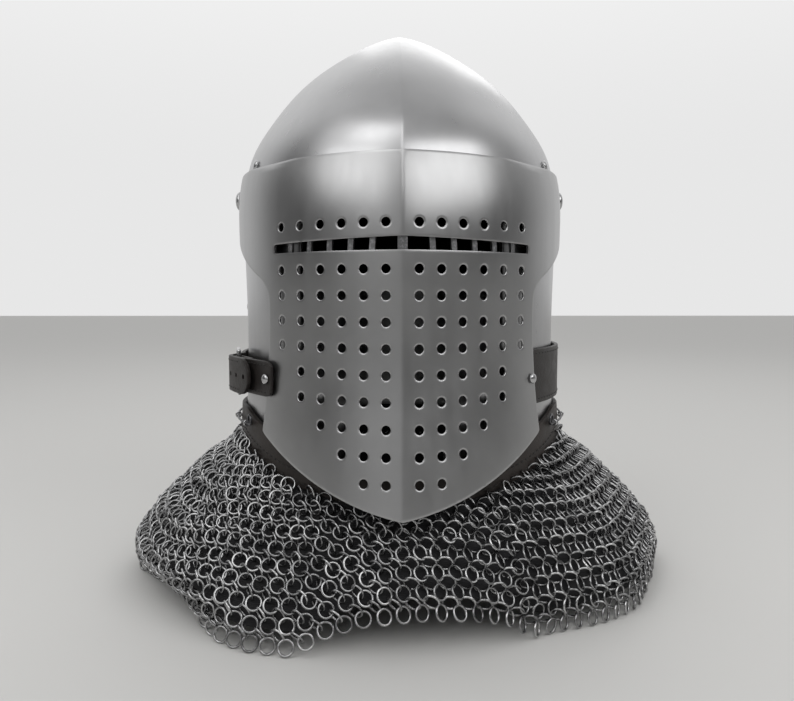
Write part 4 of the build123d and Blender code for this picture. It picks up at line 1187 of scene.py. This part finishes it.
def strapOut(bearing, left):
    rest = closing["rest"]
    if left:
        lift = barOut() + closing["bar"] + chape["thickness"] + closing["softGap"] - rest
        share = (closing["liftStart"] - bearing) / (closing["liftStart"] - closing["barBearing"])
        return rest + lift * eased(share)
    inside = visorStand(min(bearing, closing["visorEdge"])) - helm["plate"]
    inside -= closing["visorGap"] + closing["thickness"]
    share = (closing["farBearing"] - bearing) / (closing["farBearing"] - closing["visorEdge"])
    return rest + (inside - rest) * eased(share)


ribboning = {"columnPitch": 2.2, "fewest": 8, "edgeRound": 0.7}


def ribbon(name, path, widthAt, thickness, rows, edge=ribboning["edgeRound"]):
    # a flat strip is laid along a path, given its thickness outwards and its edges rounded
    runs = runsAlong(path)
    columns = max(ribboning["fewest"], int(runs[-1] / ribboning["columnPitch"]))

    def pointAt(share, climb):
        run = share * runs[-1]
        return (placeAlong(path, runs, run) + Vector((0, 0, (climb - 0.5) * widthAt(run, runs[-1])))) * mm

    strip = walled(gridPiece(name, columns, rows, pointAt), thickness)
    return smoothed(edgesRounded(strip, edge), "leather")


def block(place, size, across):
    # a box about a place, its own X along a level direction
    bpy.ops.object.select_all(action="DESELECT")
    bpy.ops.mesh.primitive_cube_add(size=1.0)
    made = bpy.context.object
    angle = math.atan2(across[1], across[0])
    made.data.transform(Matrix.Translation(Vector(place) * mm) @ Matrix.Rotation(angle, 4, "Z")
                        @ Matrix.Diagonal((size[0] * mm, size[1] * mm, size[2] * mm, 1.0)))
    return made


def makeClosingStrap():
    # bearings run on past 180 degrees to the left side
    bearings = list(np.arange(closing["rightEnd"], 180.0, closing["rightStep"]))
    path = [levelOut(b, strapOut(b, False)) for b in bearings]
    for bearing in np.arange(180.0, closing["tailEnd"] - closing["leftStep"] / 2, -closing["leftStep"]):
        path.append(mirrored(levelOut(bearing, strapOut(bearing, True))))
        bearings.append(360.0 - bearing)
    runs = runsAlong(path)

    def widthAt(run, whole):
        there = float(np.interp(run, runs, bearings))
        left = 360.0 - there
        slim = 1 - eased((left - closing["taper"][1]) / (closing["taper"][0] - closing["taper"][1]))
        slim = slim if there > 180 else 0.0
        width = closing["width"] + (closing["tailWidth"] - closing["width"]) * slim
        toTip = whole - run
        if toTip < width / 2:
            tip = 1 - (1 - toTip / (width / 2)) ** 2 * closing["tipShare"]
            width *= math.sqrt(max(closing["tipLeast"], tip))
        start = math.sqrt(min(1.0, run / closing["startRun"]))
        return width * (closing["startShare"] + (1 - closing["startShare"]) * start)

    strap = ribbon("closingStrap", path, widthAt, closing["thickness"], closing["rows"])
    cutBy(strap, [rod(mirrored(levelOut(bearing, strapOut(bearing, True))), mirrored(turnedOut(bearing)),
                      closing["holeRadius"], closing["cutter"]) for bearing in closing["holes"]])
    fitted(strap, "closing_strap_leather", "helm", "strap", "leather", "closing_strap")
    places = []
    first, last = closing["seam"]
    for side in (-1, 1):
        for run in np.arange(first, runs[-1] - last, closing["stitchPitch"]):
            spot = placeAlong(path, runs, run)
            along = (placeAlong(path, runs, run + 1.0) - spot).normalized()
            out = along.cross(Vector((0, 0, 1)))
            edge = Vector((0, 0, (widthAt(run, runs[-1]) / 2 - closing["stitchInset"]) * side))
            places.append((spot + out * (closing["thickness"] + stitching["rise"]) + edge, along, out))
    stitchRow("closing_strap_stitches", places, closing["stitch"], closing["threadRadius"], "helm")


def chapeOut(bearing):
    share = eased((bearing - closing["visorEdge"]) / (closing["barBearing"] - closing["visorEdge"]))
    over = visorStand(bearing) + chape["gap"]
    return over + share * (barOut() + closing["bar"] - over)


def makeChape():
    # one strip goes over the visor's edge, round the bar and back inside
    path = [mirrored(levelOut(b, chapeOut(b)))
            for b in np.linspace(chape["start"], closing["barBearing"], chape["overSteps"])]
    bar = mirrored(levelOut(closing["barBearing"], barOut()))
    outward = mirrored(turnedOut(closing["barBearing"]))
    back = Vector((-outward.y, outward.x, 0.0))
    back = back if back.y > 0 else -back
    for step in range(1, chape["bendSteps"]):
        angle = math.pi * step / chape["bendSteps"]
        path.append(bar + (outward * math.cos(angle) + back * math.sin(angle)) * closing["bar"])
    path += [mirrored(levelOut(b, barOut() - closing["bar"]))
             for b in np.linspace(closing["barBearing"], chape["back"], chape["backSteps"])]

    def widthAt(run, whole):
        fade = math.sqrt(min(1.0, (whole - run) / chape["endRun"]))
        return chape["height"] * (chape["endShare"] + (1 - chape["endShare"]) * fade)

    strip = ribbon("chapeStrip", path[::-1], widthAt, chape["thickness"], chape["rows"], chape["edgeRound"])
    cutBy(strip, [block(bar + back * chape["slotBack"], chape["slotSize"], back)])
    fitted(strip, "buckle_chape_leather", "visor", "strap", "leather", "buckle_chape")

    def seamAt(bearing):
        return mirrored(levelOut(bearing, chapeOut(bearing) + chape["thickness"] + stitching["rise"]))

    places = []
    first, last = chape["start"] + chape["seam"][0], closing["barBearing"] - chape["seam"][1]
    for side in (-1, 1):
        edge = Vector((0, 0, side * (chape["height"] / 2 - chape["stitchInset"])))
        for bearing in np.arange(first, last, chape["stitchPitch"]):
            spot = seamAt(bearing)
            onward = seamAt(bearing + chape["probe"]) - spot
            places.append((spot + edge, onward, mirrored(turnedOut(bearing))))
    stitchRow("chape_stitches", places, chape["stitch"], chape["threadRadius"], "visor")


keeper = {"width": 14.0, "foot": 10.0, "thickness": 2.0, "edgeRound": 0.6, "sharp": 60.0, "weld": 0.001,
          "rounds": (2.2, 2.2, 1.0, 0.8, 0.8, 1.0, 0.5, 0.5, 0.8), "roundSteps": 4}
# how far each strap rivet's head stands off its leather or plate, and its grip
strapRivets = {"onPlate": 0.3, "onLeather": 0.15, "grip": 6.0, "chapeGrip": 6.3}


def makeKeeper():
    # leather loop over the strap at the nape
    near = formPoint(skullAt, math.pi, closing["height"]).y + closing["rest"]
    bridge = near + closing["softGap"] + closing["thickness"]
    half = closing["width"] / 2 + closing["softGap"]
    thick = keeper["thickness"]
    foot, edge = half + thick + keeper["foot"], half + thick
    corners = [(near, -edge), (bridge + thick, -edge), (bridge + thick, edge), (near + thick, edge),
               (near + thick, foot), (near, foot), (near, half), (bridge, half), (bridge, -half),
               (near, -half), (near, -edge)]
    outline = roundedPath(corners, keeper["rounds"], keeper["roundSteps"])[:-1]
    loop = prism("keeperLoop", [[(x, p.x, closing["height"] + p.y) for p in outline]
                                for x in (-keeper["width"] / 2, keeper["width"] / 2)], keeper["weld"])
    smoothed(edgesRounded(loop, keeper["edgeRound"], sharp=keeper["sharp"]), "loop")
    fitted(loop, "nape_keeper_leather", "helm", "strap", "leather", "nape_keeper")
    spot = (0, near + thick + strapRivets["onLeather"], closing["height"] + edge + keeper["foot"] / 2)
    rivetSet("keeper_rivet_head", [(spot, (0, 1, 0))], (*riveting["small"], strapRivets["grip"]), "helm",
             "keeper_rivet")


def makeStrapRivets():
    bearing = chape["rivetBearing"]
    out, normal = visorStand(bearing), turnedOut(bearing)
    spot = levelOut(bearing, out + strapRivets["onPlate"])
    rivetSet("strap_rivet_head", [(spot, normal)], (*riveting["small"], strapRivets["grip"]), "visor",
             "strap_rivet_right")
    spot = levelOut(bearing, out + chape["gap"] + chape["thickness"] + strapRivets["onLeather"])
    rivetSet("chape_rivet_head", [(mirrored(spot), mirrored(normal))],
             (*riveting["small"], strapRivets["chapeGrip"]), "visor", "chape_rivet")


def chinStrip(name, path):
    # a strap that hangs inside the cheek, its width fore and aft
    path = [Vector(p) for p in path]
    runs = runsAlong(path)
    columns = max(chin["fewest"], int(runs[-1] / chin["columnPitch"]))

    def pointAt(share, climb):
        run = share * runs[-1]
        toEnd = min(1.0, min(run, runs[-1] - run) / chin["round"])
        width = chin["width"] * math.sqrt(max(chin["endLeast"], 1 - (1 - toEnd) ** 2 * chin["endShare"]))
        return (placeAlong(path, runs, run) + Vector((0, (climb - 0.5) * width, 0))) * mm

    strip = walled(gridPiece(name, columns, chin["rows"], pointAt), chin["thickness"], 0.0)
    return merged(edgesRounded(strip, chin["edgeRound"]), chin["weld"], outward=True)


def makeChinStraps():
    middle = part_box("chin_strap_right")[1].x / mm - chin["thickness"] / 2
    setback, top, foot = chin["setback"], chin["height"] + chin["lap"], chin["height"] - chin["longDrop"]
    long = chinStrip("chinLong", [(middle, setback, z) for z in np.linspace(top, foot, chin["longSteps"])])
    cutters = [rod((middle, setback, foot + chin["holePitch"] * (i + 1)), (1, 0, 0), chin["holeRadius"],
                   chin["cutter"]) for i in range(chin["holes"])]
    fitted(cutBy(long, cutters), "chin_strap_right_leather", "helm", "strap", "leather", "chin_strap_right")
    bar = chin["height"] - chin["buckleDrop"]
    reach = chin["bar"] + chin["thickness"] / 2
    across = -middle + reach
    path = [(-middle, setback, z) for z in np.linspace(top, bar, chin["shortSteps"])]
    for step in range(1, chin["bendSteps"]):
        angle = math.pi * step / chin["bendSteps"]
        path.append((across - reach * math.cos(angle), setback, bar - reach * math.sin(angle)))
    path += [(across + reach, setback, z)
             for z in np.linspace(bar, bar + 2 * chin["lap"], chin["tailSteps"])]
    short = cutBy(chinStrip("chinShort", path), [block((across, setback, bar), chin["slot"], (1, 0))])
    fitted(short, "chin_strap_left_leather", "helm", "strap", "leather", "chin_strap_left")


inside = {"bandLow": 253.0, "bandHigh": 273.0, "bandOut": 2.1, "bandThick": 2.0,
          "bandColumns": 120, "bandRows": 5, "bandRound": 0.5,
          "linerOut": 5.9, "linerLow": 190.0, "openHalf": 57.5, "openTop": 235.0,
          "channels": 34, "rounds": 7, "columns": 204, "rows": 60, "crown": 0.985, "edgeReach": 0.16,
          # outer and least inner depth, the fill's own, then what shapes the quilting and its rim
          "outerDepth": 0.2, "innerDepth": 1.6, "fillDepth": 7.0, "seamPower": 0.55, "ringPower": 0.5,
          "lowest": 0.42, "rimFoot": 9.0, "rimTop": 30.0}


def makeLiner():
    def bandAt(share, climb):
        height = inside["bandLow"] + (inside["bandHigh"] - inside["bandLow"]) * climb
        return outFrom(skullAt, roundTurn(share), height, -inside["bandOut"] - inside["bandThick"]) * mm

    strip = gridPiece("linerBand", inside["bandColumns"], inside["bandRows"], bandAt, wrap=True)
    edgesRounded(walled(strip, inside["bandThick"]), inside["bandRound"], 2)
    fitted(smoothed(strip, "leather"), "liner_band_leather", "helm", "leather", "leather", "liner_band")

    top = helm["brow"] + helm["rise"] * inside["crown"]
    half = math.asin(inside["openHalf"] / helm["halfWidth"])

    def shellAt(share, climb, depth):
        # the face opening is left out by starting each low row behind it
        turn = roundTurn(share)
        edge = eased((abs(turn) - half) / inside["edgeReach"])
        low = inside["openTop"] + (inside["linerLow"] - inside["openTop"]) * edge
        height = low + (top - low) * climb
        return outFrom(skullAt, turn, min(height, top), -inside["linerOut"] - depth) * mm

    def outerAt(share, climb):
        return shellAt(share, climb, inside["outerDepth"])

    def quiltedAt(share, climb):
        seam = abs(math.sin(math.pi * share * inside["channels"])) ** inside["seamPower"]
        ring = abs(math.sin(math.pi * climb * inside["rounds"])) ** inside["ringPower"]
        rim = math.sqrt(min(1.0, climb * inside["rimFoot"]))
        rim *= math.sqrt(min(1.0, (1 - climb) * inside["rimTop"]))
        fill = rim * (inside["lowest"] + (1 - inside["lowest"]) * min(seam, ring))
        return shellAt(share, climb, inside["innerDepth"] + fill * inside["fillDepth"])

    pad = joined("linerPad", [gridPiece(name, inside["columns"], inside["rows"], pointAt, wrap=True)
                              for name, pointAt in (("linerOuter", outerAt), ("linerInner", quiltedAt))])
    only(pad)
    bpy.ops.object.mode_set(mode="EDIT")
    bpy.ops.mesh.select_all(action="DESELECT")
    bpy.ops.mesh.select_non_manifold(extend=False)
    bpy.ops.mesh.bridge_edge_loops()
    bpy.ops.mesh.select_all(action="SELECT")
    bpy.ops.mesh.normals_make_consistent(inside=False)
    bpy.ops.object.mode_set(mode="OBJECT")
    smoothed(pad, "quilt")
    fitted(pad, "quilted_liner", "helm", "quilt", "liner_cloth", "liner")


finishes["quilt"] = darkCloth("quiltedLinen", (0.055, 0.052, 0.048))
makeClosingStrap()
makeChape()
makeKeeper()
makeStrapRivets()
makeChinStraps()
print("straps made")
makeLiner()
print("liner made")

keptNodes = {"sight_bars": "bar", "pivot_washers": "rivet", "buckle_frame": "rivet",
             "buckle_tongue": "rivet", "chin_buckle_frame": "iron", "chin_buckle_tongue": "iron",
             "vervelles": "rivet", "lacing_wire": "iron"}
for node, finish in keptNodes.items():
    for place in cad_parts[node].material_slots:
        place.material = finishes[finish]
print("metal fittings finished")


studio = {
    "base": 0.22, "floorSize": 12.0, "floorRoughness": 0.75, "floorFades": (-1.7, -0.5),
    # the far floor colour is painted shade, greyer beyond the lamps
    "floorPaintedShade": (0.24, 0.238, 0.232), "floorNear": (0.62, 0.615, 0.60),
    # direction, the cosines where its fade starts and ends, and the light that it adds
    "fades": [((0.0, 1.0, 0.1), (0.12, 0.66), 0.58), ((0.0, 0.0, 1.0), (0.15, 0.85), 0.30),
              ((0.80, -0.60, -0.05), (0.60, 0.95), -0.12), ((-0.98, -0.15, 0.2), (0.75, 0.97), -0.12),
              ((-0.50, -0.85, 0.14), (0.85, 0.99), 0.24)],
    # place, aim, width, height, brightness
    "lamps": [((-0.75, -0.59, 1.25), (0, 0, 0.25), 1.10, 1.10, 0.75),
              ((-0.62, -0.62, 1.42), (0, 0, 0.25), 0.50, 0.50, 1.3),
              ((-0.90, -0.84, 0.90), (0, 0, 0.25), 0.90, 0.45, 1.3),
              ((0.89, -0.83, 0.95), (0, 0, 0.25), 1.20, 0.66, 2.2),
              ((0.0, -0.95, 1.27), (0, 0, 0.25), 0.16, 1.15, 2.6),
              ((0.20, 1.30, 1.25), (0, 0, 0.20), 0.90, 0.60, 1.2)],
}


def fadeTowards(tree, place, way, edges, amount):
    # light that grows smoothly towards one direction
    turn = tree.nodes.new("ShaderNodeVectorMath")
    turn.operation = "DOT_PRODUCT"
    tree.links.new(place.link, turn.inputs[0])
    turn.inputs[1].default_value = Vector(way).normalized()
    share = ((Sock(tree, turn.outputs["Value"]) - edges[0]) / (edges[1] - edges[0])).clamped()
    return share * share * (3.0 - 2.0 * share) * amount


def stageAndLight():
    bpy.ops.object.select_all(action="DESELECT")
    bpy.ops.mesh.primitive_plane_add(size=studio["floorSize"])
    floor = bpy.context.object
    floor.name = "floor"
    # painted shade: the floor is pale round the helm and its colour is greyer where it runs on behind the
    # camera, beyond the lamps
    ground = Finish("paleFloor", Roughness=studio["floorRoughness"])
    depth = ground.node("SeparateXYZ", output=1, Vector=ground.place())
    far, near = studio["floorFades"]
    share = ((depth - far) / (near - far)).clamped()
    ground.set("Base Color", ground.mix(share, studio["floorPaintedShade"], studio["floorNear"]))
    floor.data.materials.append(ground.material)
    # the room is pale behind and above the helm and dark ahead of it, the same for the eye and the metal
    world = bpy.data.worlds.new("studio")
    bpy.context.scene.world = world
    world.use_nodes = True
    tree = world.node_tree
    place = Sock(tree, tree.nodes.new("ShaderNodeTexCoord").outputs["Generated"])
    level = studio["base"]
    for way, edges, amount in studio["fades"]:
        level = fadeTowards(tree, place, way, edges, amount) + level
    tree.links.new(level.link, tree.nodes["Background"].inputs["Color"])
    for i, (place, aim, width, height, glow) in enumerate(studio["lamps"]):
        light = bpy.data.lights.new("softbox%d" % i, "AREA")
        light.shape = "RECTANGLE"
        light.size, light.size_y = width, height
        light.energy = glow * math.pi * width * height
        lamp = bpy.data.objects.new(light.name, light)
        bpy.context.scene.collection.objects.link(lamp)
        lamp.location = place
        lamp.rotation_euler = (Vector(aim) - Vector(place)).to_track_quat("-Z", "Y").to_euler()


stageAndLight()

shot = {"back": 0.500, "height": 0.1835, "across": -0.0065, "pitch": 4.4, "yaw": -0.545,
        "focal": 715.0, "frameWidth": 794.0, "sensor": 36.0, "nearest": 0.01}
camera = bpy.data.objects.new("camera", bpy.data.cameras.new("camera"))
bpy.context.scene.collection.objects.link(camera)
camera.data.sensor_width = shot["sensor"]
camera.data.lens = shot["focal"] / shot["frameWidth"] * shot["sensor"]
camera.data.clip_start = shot["nearest"]
camera.location = (shot["across"], -shot["back"], shot["height"])
camera.rotation_euler = (math.radians(90 - shot["pitch"]), 0, math.radians(shot["yaw"]))
bpy.context.scene.camera = camera
bpy.context.scene.view_settings.view_transform = "Standard"
